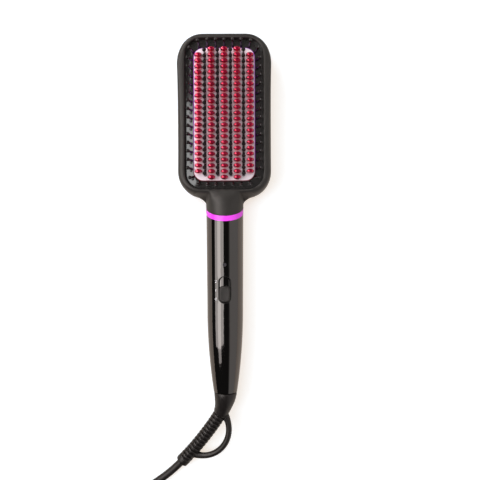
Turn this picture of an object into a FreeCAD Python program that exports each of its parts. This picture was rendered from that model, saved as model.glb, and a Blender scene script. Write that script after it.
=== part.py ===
"""Hair straightening brush: paddle head with heated posts, round handle, slide switch and swivel cord.

Frame: +Z up out of the bristle side, +Y from the handle to the paddle tip, origin under the middle of the
brush on the surface that it lies on. Millimetres.
"""

import FreeCAD, Part
import math
import os

import Sketcher

Vector = FreeCAD.Vector
doc = FreeCAD.newDocument("hair_straightening_brush")
sheet = doc.addObject("Spreadsheet::Sheet", "sizes")


class Size:
    """A length that knows both its number and the spreadsheet expression it came from."""

    def __init__(self, number, text):
        self.number = number
        self.text = text

    def __float__(self):
        return float(self.number)

    def __add__(self, other):
        return Size(float(self) + float(other), f"({self.text} + {text_of(other)})")

    def __radd__(self, other):
        return as_size(other) + self

    def __sub__(self, other):
        return Size(float(self) - float(other), f"({self.text} - {text_of(other)})")

    def __rsub__(self, other):
        return as_size(other) - self

    def __mul__(self, other):
        return Size(float(self) * float(other), f"({self.text} * {text_of(other)})")

    def __rmul__(self, other):
        return as_size(other) * self

    def __truediv__(self, other):
        return Size(float(self) / float(other), f"({self.text} / {text_of(other)})")

    def __neg__(self):
        return Size(-float(self), f"(-1 * {self.text})")


def text_of(value):
    return value.text if isinstance(value, Size) else repr(float(value))


def as_size(value):
    return value if isinstance(value, Size) else Size(value, repr(float(value)))


def root(value):
    return Size(math.sqrt(float(value)), f"sqrt({value.text})")


def size(alias, number):
    """One driving dimension: a spreadsheet cell with an alias."""
    size.row += 1
    sheet.set(f"A{size.row}", alias)
    sheet.set(f"B{size.row}", str(number))
    sheet.setAlias(f"B{size.row}", alias)
    return Size(number, f"sizes.{alias}")


size.row = 0

# Paddle
paddle_width = size("paddle_width", 76.4)
paddle_tip = size("paddle_tip", 145.9)
paddle_heel = size("paddle_heel", 12.5)
paddle_corner = size("paddle_corner", 20.7)
rim_height = size("rim_height", 26.0)
rim_round = size("rim_round", 6.0)
back_round = size("back_round", 9.0)
shell_wall = size("shell_wall", 2.2)
fit_gap = size("fit_gap", 0.15)

# Bristle recess and heated plate, each set in from what surrounds it
rim_side = size("rim_side", 6.2)
rim_heel = size("rim_heel", 6.1)
rim_tip = size("rim_tip", 4.7)
recess_corner = size("recess_corner", 13.5)
recess_width = paddle_width - rim_side * 2
recess_length = paddle_tip - paddle_heel - rim_heel - rim_tip
field_centre = paddle_heel + rim_heel + recess_length / 2
ledge_height = size("ledge_height", 19.0)
bezel_thickness = size("bezel_thickness", 2.0)
gutter_side = size("gutter_side", 6.85)
gutter_end = size("gutter_end", 6.9)
plate_width = recess_width - gutter_side * 2
plate_length = recess_length - gutter_end * 2
plate_corner = size("plate_corner", 8.0)
plate_thickness = size("plate_thickness", 3.0)
plate_edge_round = size("plate_edge_round", 0.8)
flange_thickness = size("flange_thickness", 1.0)
flange_reach = size("flange_reach", 1.5)

# Heated posts and bristles
column_pitch = size("column_pitch", 10.45)
column_margin = size("column_margin", 4.2)
row_pitch = size("row_pitch", 4.7)
row_margin = size("row_margin", 2.6)
post_length = size("post_length", 5.6)
post_width = size("post_width", 3.7)
post_height = size("post_height", 7.6)
collar_diameter = size("collar_diameter", 4.0)
bristle_height = size("bristle_height", 12.4)
bristle_shaft = size("bristle_shaft", 1.3)
bristle_ball = size("bristle_ball", 2.3)
guard_pitch = size("guard_pitch", 6.8)
guard_offset = size("guard_offset", 1.6)
guard_lean = size("guard_lean", 3.0)
guard_height = size("guard_height", 9.4)
guard_root = size("guard_root", 2.4)
guard_shaft = size("guard_shaft", 1.7)
guard_ball = size("guard_ball", 2.9)
strip_width = size("strip_width", 5.0)
strip_rib = size("strip_rib", 2.2)

# Heater stack under the plate
heater_thickness = size("heater_thickness", 2.5)
heater_width = size("heater_width", 4.6)
heater_inset = size("heater_inset", 10.4)
heater_length = plate_length - heater_inset * 2
mica_thickness = size("mica_thickness", 0.4)
clamp_thickness = size("clamp_thickness", 1.0)
clamp_side_inset = size("clamp_side_inset", 1.65)
clamp_end_inset = size("clamp_end_inset", 6.4)
clamp_width = plate_width - clamp_side_inset * 2
clamp_length = plate_length - clamp_end_inset * 2
boss_diameter = size("boss_diameter", 5.0)
boss_inset = size("boss_inset", 8.0)
boss_spread = clamp_length / 2 - boss_inset
clamp_screw = size("clamp_screw", 2.0)
frame_screw = size("frame_screw", 2.2)
frame_screw_head = size("frame_screw_head", 4.0)
frame_screw_inset = size("frame_screw_inset", 6.4)
frame_screw_spread = plate_length / 2 - frame_screw_inset

# Handle, neck and ring
axis_height = size("axis_height", 15.4)
neck_radius = size("neck_radius", 15.4)
neck_length = size("neck_length", 9.95)
grip_radius = size("grip_radius", 14.75)
tail_radius = size("tail_radius", 9.6)
handle_end = size("handle_end", -147.5)
taper_start = size("taper_start", -80.0)
handle_bore = size("handle_bore", 12.45)
tail_wall = size("tail_wall", 2.0)
end_wall = size("end_wall", 2.5)
ring_top = size("ring_top", 4.05)
ring_width = size("ring_width", 4.15)
ring_drop = size("ring_drop", 7.5)
spigot_wall = size("spigot_wall", 2.0)
spigot_length = size("spigot_length", 16.0)
spigot_seat = size("spigot_seat", 4.0)

# Switch, light and board
slot_centre = size("slot_centre", -62.8)
slot_width = size("slot_width", 9.9)
slot_length = size("slot_length", 21.3)
slot_corner = size("slot_corner", 4.5)
thumb_width = size("thumb_width", 9.1)
thumb_length = size("thumb_length", 13.4)
thumb_proud = size("thumb_proud", 1.4)
switch_travel = size("switch_travel", 6.9)
slider_thickness = size("slider_thickness", 1.2)
slot_wall = size("slot_wall", 0.95)
slider_width = size("slider_width", 12.6)
slider_overlap = size("slider_overlap", 0.6)
running_gap = size("running_gap", 0.3)
lens_place = size("lens_place", -42.6)
lens_diameter = size("lens_diameter", 2.9)
board_width = size("board_width", 20.0)
board_north = size("board_north", -30.0)
board_south = size("board_south", -92.0)
board_thickness = size("board_thickness", 1.6)
board_height = size("board_height", 2.2)
switch_body_height = size("switch_body_height", 4.2)
switch_body_width = size("switch_body_width", 8.4)
switch_body_length = size("switch_body_length", 19.0)
lever_side = size("lever_side", 3.0)
wire_diameter = size("wire_diameter", 1.8)

# Cord swivel
spindle_radius = size("spindle_radius", 4.0)
spindle_neck = size("spindle_neck", 5.5)
spindle_flange = size("spindle_flange", 6.8)
slip_ring_radius = size("slip_ring_radius", 5.0)
slip_ring_width = size("slip_ring_width", 3.0)
bulkhead_place = size("bulkhead_place", -126.0)
bulkhead_thickness = size("bulkhead_thickness", 3.0)
leaf_thickness = size("leaf_thickness", 0.4)

# Boot, loop, cord and plug
boot_gap = size("boot_gap", 0.4)
boot_radius = size("boot_radius", 9.15)
boot_waist = size("boot_waist", 6.0)
tail_ribs = 14
tail_length = size("tail_length", 53.0)
rib_radius = size("rib_radius", 5.55)
rib_end_radius = size("rib_end_radius", 5.45)
rib_depth = size("rib_depth", 0.9)
loop_radius = size("loop_radius", 22.7)
loop_thickness = size("loop_thickness", 4.4)
cord_diameter = size("cord_diameter", 6.4)
coil_inner_radius = size("coil_inner_radius", 25.8)
coil_gap = size("coil_gap", 0.7)
coil_layer_turns = 3.4
tie_thickness = size("tie_thickness", 1.0)
tie_width = size("tie_width", 11.0)
plug_length = size("plug_length", 36.0)
plug_width = size("plug_width", 24.0)
plug_thickness = size("plug_thickness", 16.0)
blade_length = size("blade_length", 17.0)
blade_width = size("blade_width", 6.35)
blade_thickness = size("blade_thickness", 1.5)
blade_spread = size("blade_spread", 12.7)

doc.recompute()
parts = {}


def bind(item, path, value):
    """Tie a property to the spreadsheet, or set it where it is a plain number."""
    item.setExpression(path, text_of(value))


def attach(sketch, body, plane, offset):
    origin = [feature for feature in body.Origin.OriginFeatures if feature.Role == plane][0]
    sketch.AttachmentSupport = [(origin, "")]
    sketch.MapMode = "FlatFace"
    bind(sketch, "AttachmentOffset.Base.z", offset)


def arc_between(first, last, radius):
    """Arc of a signed radius from first to last: positive bulges to the left of the way it goes."""
    chord = last - first
    half = chord.Length / 2
    reach = abs(radius)
    side = Vector(-chord.y, chord.x, 0).normalize() * (1 if radius > 0 else -1)
    rise = reach - math.sqrt(max(reach * reach - half * half, 0))
    return Part.Arc(first, (first + last) * 0.5 + side * rise, last)


def outline(sketch, corners):
    """Closed profile through corners (across, up) or (across, up, radius of the arc to the next corner)."""
    points = [Vector(float(corner[0]), float(corner[1]), 0) for corner in corners]
    count = len(corners)
    for index, corner in enumerate(corners):
        first, last = points[index], points[(index + 1) % count]
        if len(corner) == 3:
            edge = arc_between(first, last, float(corner[2]))
        else:
            edge = Part.LineSegment(first, last)
        sketch.addGeometry(edge, False)
    starts = []
    for index, corner in enumerate(corners):
        edge = sketch.Geometry[index]
        starts.append(1 if edge.StartPoint.distanceToPoint(points[index]) < 1e-6 else 2)
    for index in range(count):
        after = (index + 1) % count
        sketch.addConstraint(Sketcher.Constraint("Coincident", index, 3 - starts[index], after, starts[after]))
    for index, corner in enumerate(corners):
        for kind, value in (("DistanceX", corner[0]), ("DistanceY", corner[1])):
            place = sketch.addConstraint(Sketcher.Constraint(kind, index, starts[index], float(value)))
            bind(sketch, f"Constraints[{place}]", value)
        if len(corner) == 3:
            radius = corner[2] if float(corner[2]) > 0 else -corner[2]
            place = sketch.addConstraint(Sketcher.Constraint("Radius", index, float(radius)))
            bind(sketch, f"Constraints[{place}]", radius)


def rectangle(half_width, low, high):
    return [(-half_width, low), (half_width, low), (half_width, high), (-half_width, high)]


def pad(name, plane, offset, corners, length, symmetric=False):
    """Body with one padded outline."""
    body = doc.addObject("PartDesign::Body", name)
    sketch = body.newObject("Sketcher::SketchObject", name + "_outline")
    attach(sketch, body, plane, offset)
    outline(sketch, corners)
    feature = body.newObject("PartDesign::Pad", name + "_pad")
    feature.Profile = sketch
    bind(feature, "Length", length)
    if symmetric:
        feature.SideType = "Symmetric"
    doc.recompute()
    return body


def revolve(name, corners):
    """Body turned about the handle's axis from an outline of (along Y, radius)."""
    body = doc.addObject("PartDesign::Body", name)
    sketch = body.newObject("Sketcher::SketchObject", name + "_profile")
    attach(sketch, body, "YZ_Plane", 0)
    outline(sketch, corners)
    feature = body.newObject("PartDesign::Revolution", name + "_turn")
    feature.Profile = sketch
    feature.ReferenceAxis = (sketch, ["H_Axis"])
    feature.Angle = 360
    bind(body, "Placement.Base.z", axis_height)
    doc.recompute()
    return body


def round_edges(body, radius, chosen):
    """Fillet on the edges of the body's last feature that chosen picks."""
    base = body.Tip
    names = [f"Edge{index + 1}" for index, edge in enumerate(base.Shape.Edges) if chosen(edge)]
    fillet = body.newObject("PartDesign::Fillet", body.Name + "_round")
    fillet.Base = (base, names)
    bind(fillet, "Radius", radius)
    doc.recompute()
    return body


def upright(edge):
    ends = [vertex.Point for vertex in edge.Vertexes]
    return len(ends) == 2 and abs(ends[0].z - ends[1].z) > 1e-3 and abs(ends[0].x - ends[1].x) < 1e-6


def at_height(height):
    level = float(height)

    def chosen(edge):
        return abs(edge.BoundBox.ZMin - level) < 1e-4 and abs(edge.BoundBox.ZMax - level) < 1e-4

    return chosen


def rounded_block(name, width, length, centre, low, high, corner):
    """Upright block with rounded corners, centred on the brush's middle plane."""
    body = pad(name, "XY_Plane", low, rectangle(width / 2, centre - length / 2, centre + length / 2), high - low)
    return round_edges(body, corner, upright)


def cylinder(name, radius, height, x, y, z, along_y=False):
    item = doc.addObject("Part::Cylinder", name)
    bind(item, "Radius", radius)
    bind(item, "Height", height)
    if along_y:
        item.Placement.Rotation = FreeCAD.Rotation(Vector(1, 0, 0), -90)
    for axis, value in zip("xyz", (x, y, z)):
        bind(item, f"Placement.Base.{axis}", value)
    return item


def box(name, x_size, y_size, z_size, x, y, z):
    """Box centred on x, from y and z upward."""
    item = doc.addObject("Part::Box", name)
    for path, value in zip(("Length", "Width", "Height"), (x_size, y_size, z_size)):
        bind(item, path, value)
    for axis, value in zip("xyz", (x - x_size / 2, y, z)):
        bind(item, f"Placement.Base.{axis}", value)
    return item


def fuse(name, items):
    item = doc.addObject("Part::MultiFuse", name)
    item.Shapes = items
    doc.recompute()
    return item


def cut(name, base, tools):
    item = doc.addObject("Part::Cut", name)
    item.Base = base
    item.Tool = tools[0] if len(tools) == 1 else fuse(name + "_tools", tools)
    doc.recompute()
    return item


def common(name, base, tool):
    item = doc.addObject("Part::Common", name)
    item.Base = base
    item.Tool = tool
    doc.recompute()
    return item


def plain(name, shape):
    item = doc.addObject("Part::Feature", name)
    item.Shape = shape
    return item


def part(node, item):
    """Name a finished sub-part."""
    item.Label = node
    parts[node] = item
    return item


def shapes(node, solids):
    return part(node, plain(node, Part.makeCompound(solids)))


def polygon(centre, half_x, half_y, sides, turn=0.5):
    """Closed flat wire of an oval with a few sides."""
    corners = []
    for index in range(sides + 1):
        angle = 2 * math.pi * (index % sides + turn) / sides
        corners.append(centre + Vector(half_x * math.cos(angle), half_y * math.sin(angle), 0))
    return Part.makePolygon(corners)


def stacked(sections, sides):
    """Faceted solid through flat ovals (centre, half_x, half_y)."""
    return Part.makeLoft([polygon(*section, sides) for section in sections], True, True)


# Head blank: rounded paddle block and a neck lofted from the slanted ring to the paddle
ring_slope = ring_drop / neck_radius
paddle_length = paddle_tip - paddle_heel
paddle_middle = (paddle_tip + paddle_heel) / 2
paddle = rounded_block("paddle", paddle_width, paddle_length, paddle_middle, as_size(0), rim_height, paddle_corner)
round_edges(paddle, rim_round, at_height(rim_height))
round_edges(paddle, back_round, at_height(0))


def neck_section(place, slope, half_width, low, high, fullness):
    """Closed section of four conics on a plane that leans by slope, as wide as the neck is there."""
    middle = float(axis_height)

    def point(across, level):
        return Vector(across, place - slope * (level - middle), level)

    corners = [(0, high), (half_width, middle), (0, low), (-half_width, middle)]
    edges = []
    for index, first in enumerate(corners):
        last = corners[(index + 1) % 4]
        knee = (first[0] or last[0], first[1] if first[1] != middle else last[1])
        curve = Part.BSplineCurve()
        poles = [point(*first), point(*knee), point(*last)]
        curve.buildFromPolesMultsKnots(poles, [3, 3], [0, 1], False, 2, [1, fullness, 1])
        edges.append(curve.toShape())
    return Part.Wire(edges)


CIRCLE = math.sqrt(0.5)
ring_lean = float(ring_slope)
neck_top = float(axis_height + neck_radius)
neck_low = float(axis_height - neck_radius)
half_paddle = float(paddle_width / 2)
rim = float(rim_height)
neck_start = float(ring_top)
neck_reach = float(neck_length)
neck_flare = half_paddle - float(neck_radius)
neck_fall = neck_top - rim

# Each station: way from the ring in neck lengths, lean left, flare, crown's fall, belly's lift, fullness
NECK_STATIONS = [
    (0.0, 1.0, 0.0, 0.0, 0.0, CIRCLE),
    (0.42, 0.86, 0.02, 0.1, 0.0, 0.72),
    (0.8, 0.66, 0.23, 0.5, 0.1, 0.82),
    (1.25, 0.42, 0.6, 0.92, 0.3, 0.95),
    (1.9, 0.15, 0.84, 1.12, 0.6, 1.1),
    (2.8, 0.0, 0.9, 1.25, 1.0, 1.2),
]
neck_wires = []
for way, lean, flare, fall, lift, fullness in NECK_STATIONS:
    neck_wires.append(
        neck_section(
            neck_start + way * neck_reach,
            lean * ring_lean,
            float(neck_radius) + flare * neck_flare,
            neck_low + lift * float(shell_wall) / 2,
            neck_top - fall * neck_fall,
            fullness,
        )
    )
neck = plain("neck", Part.makeLoft(neck_wires, True, False))
head_blank = fuse("head_blank", [paddle, neck])

# Spigot of the neck inside the handle
spigot_radius = handle_bore - fit_gap / 3
slab_reach = neck_radius * 2


def slanted(name, low, high):
    """Slab between two planes that lean as the ring does, each given by its place at the axis."""
    shift = ring_slope * slab_reach
    body = pad(name, "YZ_Plane", 0, [
        (low + shift, -slab_reach), (high + shift, -slab_reach), (high - shift, slab_reach),
        (low - shift, slab_reach),
    ], slab_reach * 2, True)
    bind(body, "Placement.Base.z", axis_height)
    return body


spigot_bar = cylinder("spigot_bar", spigot_radius, spigot_length + paddle_heel * 2, 0, -spigot_length, axis_height,
                      True)
spigot = common("spigot", spigot_bar, slanted("spigot_room", -spigot_length * 3, ring_top + spigot_seat))
spigot_bore_radius = spigot_radius - spigot_wall
wire_way = cylinder("wire_way", spigot_bore_radius, spigot_length * 1.5 + paddle_heel - shell_wall, 0,
                    -spigot_length * 1.5, axis_height, True)
head_solid = fuse("head_solid", [head_blank, spigot])

# Head shells
ledge_underside = ledge_height - shell_wall
cavity_width = paddle_width - shell_wall * 2
cavity_length = paddle_length - shell_wall * 2
cavity_corner = paddle_corner - shell_wall
passage_low = axis_height - spigot_bore_radius / 2
passage_length = paddle_heel / 2 + shell_wall * 2 + back_round / 2
wire_passage = box("wire_passage", spigot_bore_radius * 1.9, passage_length, ledge_underside - passage_low,
                   as_size(0), paddle_heel / 2, passage_low)
recess = rounded_block("recess", recess_width, recess_length, field_centre, ledge_height, rim_height * 2,
                       recess_corner)
opening_width = plate_width - fit_gap * 2
opening = rounded_block("plate_opening", opening_width, plate_length - fit_gap * 2, field_centre,
                        axis_height - 1, ledge_height + 1, plate_corner)
front_cavity = rounded_block("front_cavity", cavity_width, cavity_length, paddle_middle, axis_height - 1,
                             ledge_underside, cavity_corner)
back_cavity = rounded_block("back_cavity", cavity_width - back_round, cavity_length - back_round, paddle_middle,
                            shell_wall, axis_height + 1, cavity_corner - back_round / 2)

SCREW_ROWS = (-1, 0, 1)
SIDES = (-1, 1)
screw_column = (plate_width / 2 + flange_reach + recess_width / 2) / 2
frame_screw_places = []
for side in SIDES:
    for row in SCREW_ROWS:
        frame_screw_places.append((side * screw_column, field_centre + row * frame_screw_spread))


def columns(name, places, radius, low, high):
    """Round columns or holes at several places."""
    items = []
    for index, (x, y) in enumerate(places):
        items.append(cylinder(f"{name}_{index}", radius, high - low, x, y, low))
    return items


screw_post_radius = frame_screw_head / 2 + shell_wall / 2
head_seat = ledge_height - frame_screw_head * 0.4
front_posts = columns("front_post", frame_screw_places, screw_post_radius, axis_height, ledge_underside)
back_posts = columns("back_post", frame_screw_places, screw_post_radius, shell_wall / 2, axis_height)
screw_depth = axis_height - shell_wall * 3
clear_holes = columns("clear_hole", frame_screw_places, frame_screw / 2, screw_depth, ledge_height + 1)
head_holes = columns("head_hole", frame_screw_places, frame_screw_head / 2 + fit_gap, head_seat, ledge_height + 1)

room_south = handle_end * 2
room_length = paddle_tip * 2 - room_south
front_room = box("front_room", paddle_width * 2, room_length, rim_height * 2, as_size(0), room_south, axis_height)
back_room = box("back_room", paddle_width * 2, room_length, rim_height * 2, as_size(0), room_south,
                axis_height - rim_height * 2)
front_hollow = cut("front_hollow", common("front_half", head_solid, front_room),
                   [recess, opening, front_cavity, wire_way, wire_passage])
front_body = fuse("front_body", [front_hollow] + front_posts)
part("head_front_frame", cut("front_frame", front_body, clear_holes + head_holes))
back_hollow = cut("back_hollow", common("back_half", head_solid, back_room), [back_cavity, wire_way, wire_passage])
back_body = fuse("back_body", [back_hollow] + back_posts)
part("head_back_cover", cut("back_cover", back_body, clear_holes))

screw_solids = []
for x, y in frame_screw_places:
    foot = Vector(float(x), float(y), float(screw_depth))
    shank = Part.makeCylinder(float(frame_screw / 2), float(head_seat - screw_depth), foot)
    crown = Part.makeCylinder(float(frame_screw_head / 2), float(ledge_height - head_seat),
                              Vector(foot.x, foot.y, float(head_seat)))
    screw_solids.append(shank.fuse(crown).removeSplitter())
shapes("frame_screws", screw_solids)

# Heated plate with its flange, slots for the bristle strips and screw bosses
plate_top = ledge_height + plate_thickness
plate = rounded_block("plate", plate_width, plate_length, field_centre, ledge_height, plate_top, plate_corner)
round_edges(plate, plate_edge_round, at_height(plate_top))
flange = rounded_block("flange", plate_width + flange_reach * 2, plate_length + flange_reach * 2, field_centre,
                       ledge_height, ledge_height + flange_thickness, plate_corner + flange_reach)
post_rows = int(float((plate_length - row_margin * 2) / row_pitch)) + 1
post_columns = int(float((plate_width - column_margin * 2) / column_pitch)) + 1
rows_length = row_pitch * (post_rows - 1)
strip_length = rows_length + collar_diameter / 2
strip_columns = [column_pitch * (index - (post_columns - 2) / 2) for index in range(post_columns - 1)]
slots = []
for index, x in enumerate(strip_columns):
    slots.append(box(f"plate_slot_{index}", strip_rib + fit_gap, strip_length - strip_width + fit_gap, plate_top, x,
                     field_centre - (strip_length - strip_width + fit_gap) / 2, ledge_height - 1))
boss_column = column_pitch * ((post_columns - 1) / 2)
boss_places = []
for side in SIDES:
    for row in SCREW_ROWS:
        boss_places.append((side * boss_column, field_centre + row * boss_spread))
stack_low = ledge_height - heater_thickness
plate_bosses = columns("plate_boss", boss_places, boss_diameter / 2, stack_low, ledge_height + 1)
clamp_low = stack_low - mica_thickness - clamp_thickness
boss_holes = columns("boss_hole", boss_places, clamp_screw / 2, clamp_low - 1, ledge_height + 1)
part("heating_plate", cut("heated_plate", fuse("plate_body", [plate, flange] + plate_bosses), slots + boss_holes))

# Bezel that covers the screws and holds the plate down
bezel_blank = rounded_block("bezel_blank", recess_width - fit_gap * 2, recess_length - fit_gap * 2, field_centre,
                            ledge_height, ledge_height + bezel_thickness, recess_corner - fit_gap)
bezel_mouth = rounded_block("bezel_mouth", plate_width + fit_gap * 2, plate_length + fit_gap * 2, field_centre,
                            ledge_height - 1, plate_top, plate_corner + fit_gap)
rebate_reach = (flange_reach + fit_gap) * 2
bezel_rebate = rounded_block("bezel_rebate", plate_width + rebate_reach, plate_length + rebate_reach, field_centre,
                             ledge_height - 1, ledge_height + flange_thickness + fit_gap / 2,
                             plate_corner + flange_reach + fit_gap)
part("guard_bezel", cut("bezel", bezel_blank, [bezel_mouth, bezel_rebate]))

# Heated posts: columns of faceted ovals, the outer two columns a row shorter at each end
POST_SIDES = 8
post_base = float(plate_top)
post_half_x = float(post_length / 2)
post_half_y = float(post_width / 2)
post_solids = []
for column in range(post_columns):
    short = 1 if column in (0, post_columns - 1) else 0
    across = (column - (post_columns - 1) / 2) * float(column_pitch)
    for row in range(short, post_rows - short):
        foot = Vector(across, float(field_centre) + (row - (post_rows - 1) / 2) * float(row_pitch), 0)
        sections = []
        for share, swell in ((0, 1), (0.72, 0.88), (1, 0.5)):
            centre = foot + Vector(0, 0, post_base + share * float(post_height))
            sections.append((centre, post_half_x * swell, post_half_y * swell))
        post_solids.append(stacked(sections, POST_SIDES))
shapes("heating_posts", post_solids)

# Bristles: a cone at the foot, a thin shaft and a ball at the tip, leaning if the guard ring asks for it
BRISTLE_SIDES = 6


def bristle(foot, lean, height, foot_radius, shaft, ball):
    neck_level = height - 2 * ball
    stations = [(0, foot_radius), (0.36 * height, shaft), (neck_level, shaft)]
    stations += [(height - 1.2 * ball, ball), (height - 0.7 * ball, ball), (height, 0.45 * ball)]
    sections = []
    for level, radius in stations:
        centre = foot + Vector(0, 0, level) + lean * (level / height)
        sections.append((centre, radius, radius))
    return stacked(sections, BRISTLE_SIDES)


inner_solids = []
for x in strip_columns:
    for row in range(post_rows - 1):
        y = float(field_centre) + (row - (post_rows - 2) / 2) * float(row_pitch)
        inner_solids.append(bristle(Vector(float(x), y, post_base), Vector(), float(bristle_height),
                                    float(collar_diameter) / 2, float(bristle_shaft) / 2, float(bristle_ball) / 2))
shapes("inner_bristles", inner_solids)


def round_the_plate(offset, pitch):
    """Even places on the plate's outline moved out by offset, one at its tip's middle, and the ways out."""
    straight_x = float(plate_width) / 2 - float(plate_corner)
    straight_y = float(plate_length) / 2 - float(plate_corner)
    radius = float(plate_corner) + offset
    arc = math.pi / 2 * radius
    runs = [straight_y * 2, arc, straight_x * 2, arc] * 2
    count = round(sum(runs) / pitch)
    step = sum(runs) / count
    first = (runs[0] + runs[1] + runs[2] / 2) % step
    places = []
    for index in range(count):
        way = first + index * step
        run = 0
        while way > runs[run]:
            way -= runs[run]
            run += 1
        quarter = run // 2
        turn = math.pi / 2 * quarter
        corner_x = straight_x if quarter in (0, 3) else -straight_x
        corner_y = straight_y if quarter in (0, 1) else -straight_y
        if run % 2 == 0:
            ahead = Vector(-math.sin(turn), math.cos(turn), 0)
            out = Vector(math.cos(turn), math.sin(turn), 0)
            place = Vector(corner_x, corner_y, 0) + out * radius - ahead * (runs[run] - way)
        else:
            angle = turn + way / radius
            out = Vector(math.cos(angle), math.sin(angle), 0)
            place = Vector(corner_x, corner_y, 0) + out * radius
        places.append((place + Vector(0, float(field_centre), 0), out))
    return places


guard_solids = []
for place, out in round_the_plate(float(guard_offset), float(guard_pitch)):
    foot = place + Vector(0, 0, float(ledge_height + bezel_thickness))
    guard_solids.append(bristle(foot, out * float(guard_lean), float(guard_height), float(guard_root) / 2,
                                float(guard_shaft) / 2, float(guard_ball) / 2))
shapes("guard_bristles", guard_solids)

# Nylon strips under the plate, with a rib up through each slot
strip_solids = []
for index, x in enumerate(strip_columns):
    bar = box(f"strip_bar_{index}", strip_width, strip_length, heater_thickness, x, field_centre - strip_length / 2,
              stack_low)
    rib = box(f"strip_rib_{index}", strip_rib, strip_length - strip_width, plate_thickness + heater_thickness, x,
              field_centre - (strip_length - strip_width) / 2, stack_low)
    strip_solids.append(fuse(f"strip_{index}", [bar, rib]))
strips = doc.addObject("Part::Compound", "strips")
strips.Links = strip_solids
part("bristle_strips", strips)

# Heater bars, mica and clamp plate
heater_bars = []
heater_south = field_centre - heater_length / 2
for index in range(post_columns - 2):
    heater_bars.append(box(f"heater_{index}", heater_width, heater_length, heater_thickness,
                           column_pitch * (index - (post_columns - 3) / 2), heater_south, stack_low))
heaters = doc.addObject("Part::Compound", "heaters")
heaters.Links = heater_bars
part("ceramic_heaters", heaters)
sheet_corner = plate_corner / 2
mica = rounded_block("mica", clamp_width, clamp_length, field_centre, stack_low - mica_thickness, stack_low,
                     sheet_corner)
part("mica_sheet", cut("mica_cut", mica, boss_holes))
clamp = rounded_block("clamp", clamp_width, clamp_length, field_centre, clamp_low, stack_low - mica_thickness,
                      sheet_corner)
part("clamp_plate", cut("clamp_cut", clamp, boss_holes))
clamp_screw_solids = []
for x, y in boss_places:
    top = Vector(float(x), float(y), float(clamp_low))
    shank = Part.makeCylinder(float(clamp_screw / 2), float(ledge_height - clamp_low), top)
    crown = Part.makeCylinder(float(clamp_screw), float(clamp_thickness), top - Vector(0, 0, float(clamp_thickness)))
    clamp_screw_solids.append(shank.fuse(crown).removeSplitter())
shapes("clamp_screws", clamp_screw_solids)

# Sensor and fuse lie against the plate, south of the outer heater bars
sensor_length = size("sensor_length", 5.0)
fuse_length = size("fuse_length", 5.0)
sensor_radius = heater_thickness / 2
sensor_column = column_pitch * ((post_columns - 3) / 2 if post_columns > 3 else 1)
sensor = cylinder("sensor", sensor_radius, sensor_length, sensor_column, heater_south - sensor_length - fit_gap,
                  ledge_height - sensor_radius, True)
part("temperature_sensor", sensor)
thermal_fuse = cylinder("fuse_tube", sensor_radius, fuse_length, -sensor_column, heater_south - fuse_length - fit_gap,
                        ledge_height - sensor_radius, True)
part("thermal_fuse", thermal_fuse)
doc.recompute()

# Handle tube, cut along the ring's slanted lower plane and split at its axis
taper_length = taper_start - handle_end
tail_drop = grip_radius - tail_radius
outer_arc = (taper_length * taper_length + tail_drop * tail_drop) / (tail_drop * 2)
bore_end = handle_end + end_wall
bore_tail = tail_radius - tail_wall
bore_length = taper_start - bore_end
bore_drop = handle_bore - bore_tail
bore_arc = (bore_length * bore_length + bore_drop * bore_drop) / (bore_drop * 2)
tube_start = ring_top + ring_drop * 2
handle_outer = revolve("handle_outer", [
    (tube_start, as_size(0)), (tube_start, neck_radius), (taper_start, grip_radius, -outer_arc),
    (handle_end, tail_radius), (handle_end, as_size(0)),
])
handle_inner = revolve("handle_inner", [
    (tube_start + 1, as_size(0)), (tube_start + 1, handle_bore), (taper_start, handle_bore, -bore_arc),
    (bore_end, bore_tail), (bore_end, as_size(0)),
])
ring_low = ring_top - ring_width
spindle_way = cylinder("spindle_way", spindle_neck + fit_gap / 2, end_wall * 3, 0, handle_end - end_wall,
                       axis_height, True)
beyond_ring = slanted("beyond_ring", ring_low, ring_low + neck_radius * 6)
handle_tube = cut("handle_tube", handle_outer, [handle_inner, spindle_way, beyond_ring])
ring_blank = revolve("ring_blank", [
    (-tube_start, handle_bore + fit_gap / 3), (-tube_start, neck_radius), (tube_start, neck_radius),
    (tube_start, handle_bore + fit_gap / 3),
])
part("trim_ring", common("ring", ring_blank, slanted("ring_slab", ring_low, ring_top)))

switch_slot = rounded_block("switch_slot", slot_width, slot_length, slot_centre, axis_height + handle_bore / 2,
                            axis_height * 3, slot_corner)
lens_hole = cylinder("lens_hole", lens_diameter / 2 + fit_gap / 2, axis_height * 2, 0, lens_place,
                     axis_height + handle_bore / 2)

# Screw bosses meet at the split, north and south of the board
handle_screw_places = [(as_size(0), board_north + boss_diameter * 1.4), (as_size(0), board_south - boss_diameter * 1.8)]
boss_reach = handle_bore + shell_wall / 3
front_bosses = fuse("front_bosses", columns("front_boss", handle_screw_places, boss_diameter * 0.6, axis_height,
                                            axis_height + boss_reach))
back_bosses = fuse("back_bosses", columns("back_boss", handle_screw_places, boss_diameter * 0.6,
                                          axis_height - boss_reach, axis_height))
handle_screw_top = axis_height + handle_bore * 0.65
handle_screw_seat = axis_height - handle_bore
handle_screw_low = handle_screw_seat - clamp_screw * 0.9
handle_screw_holes = columns("handle_screw_hole", handle_screw_places, clamp_screw / 2, handle_screw_low,
                             handle_screw_top)
handle_head_holes = columns("handle_head_hole", handle_screw_places, clamp_screw + fit_gap,
                            handle_screw_seat - axis_height, handle_screw_seat)
front_tube = fuse("front_tube", [common("handle_front", handle_tube, front_room),
                                 common("front_boss_trim", front_bosses, handle_outer)])
slider_radius = grip_radius - slot_wall - running_gap
slider_inner = slider_radius - slider_thickness
slider_south = slot_centre - slot_length / 2 - slider_overlap - switch_travel
slider_north = slot_centre + slot_length / 2 + slider_overlap
slider_length = slider_north - slider_south
pocket_length = slider_length + switch_travel + running_gap * 2
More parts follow.
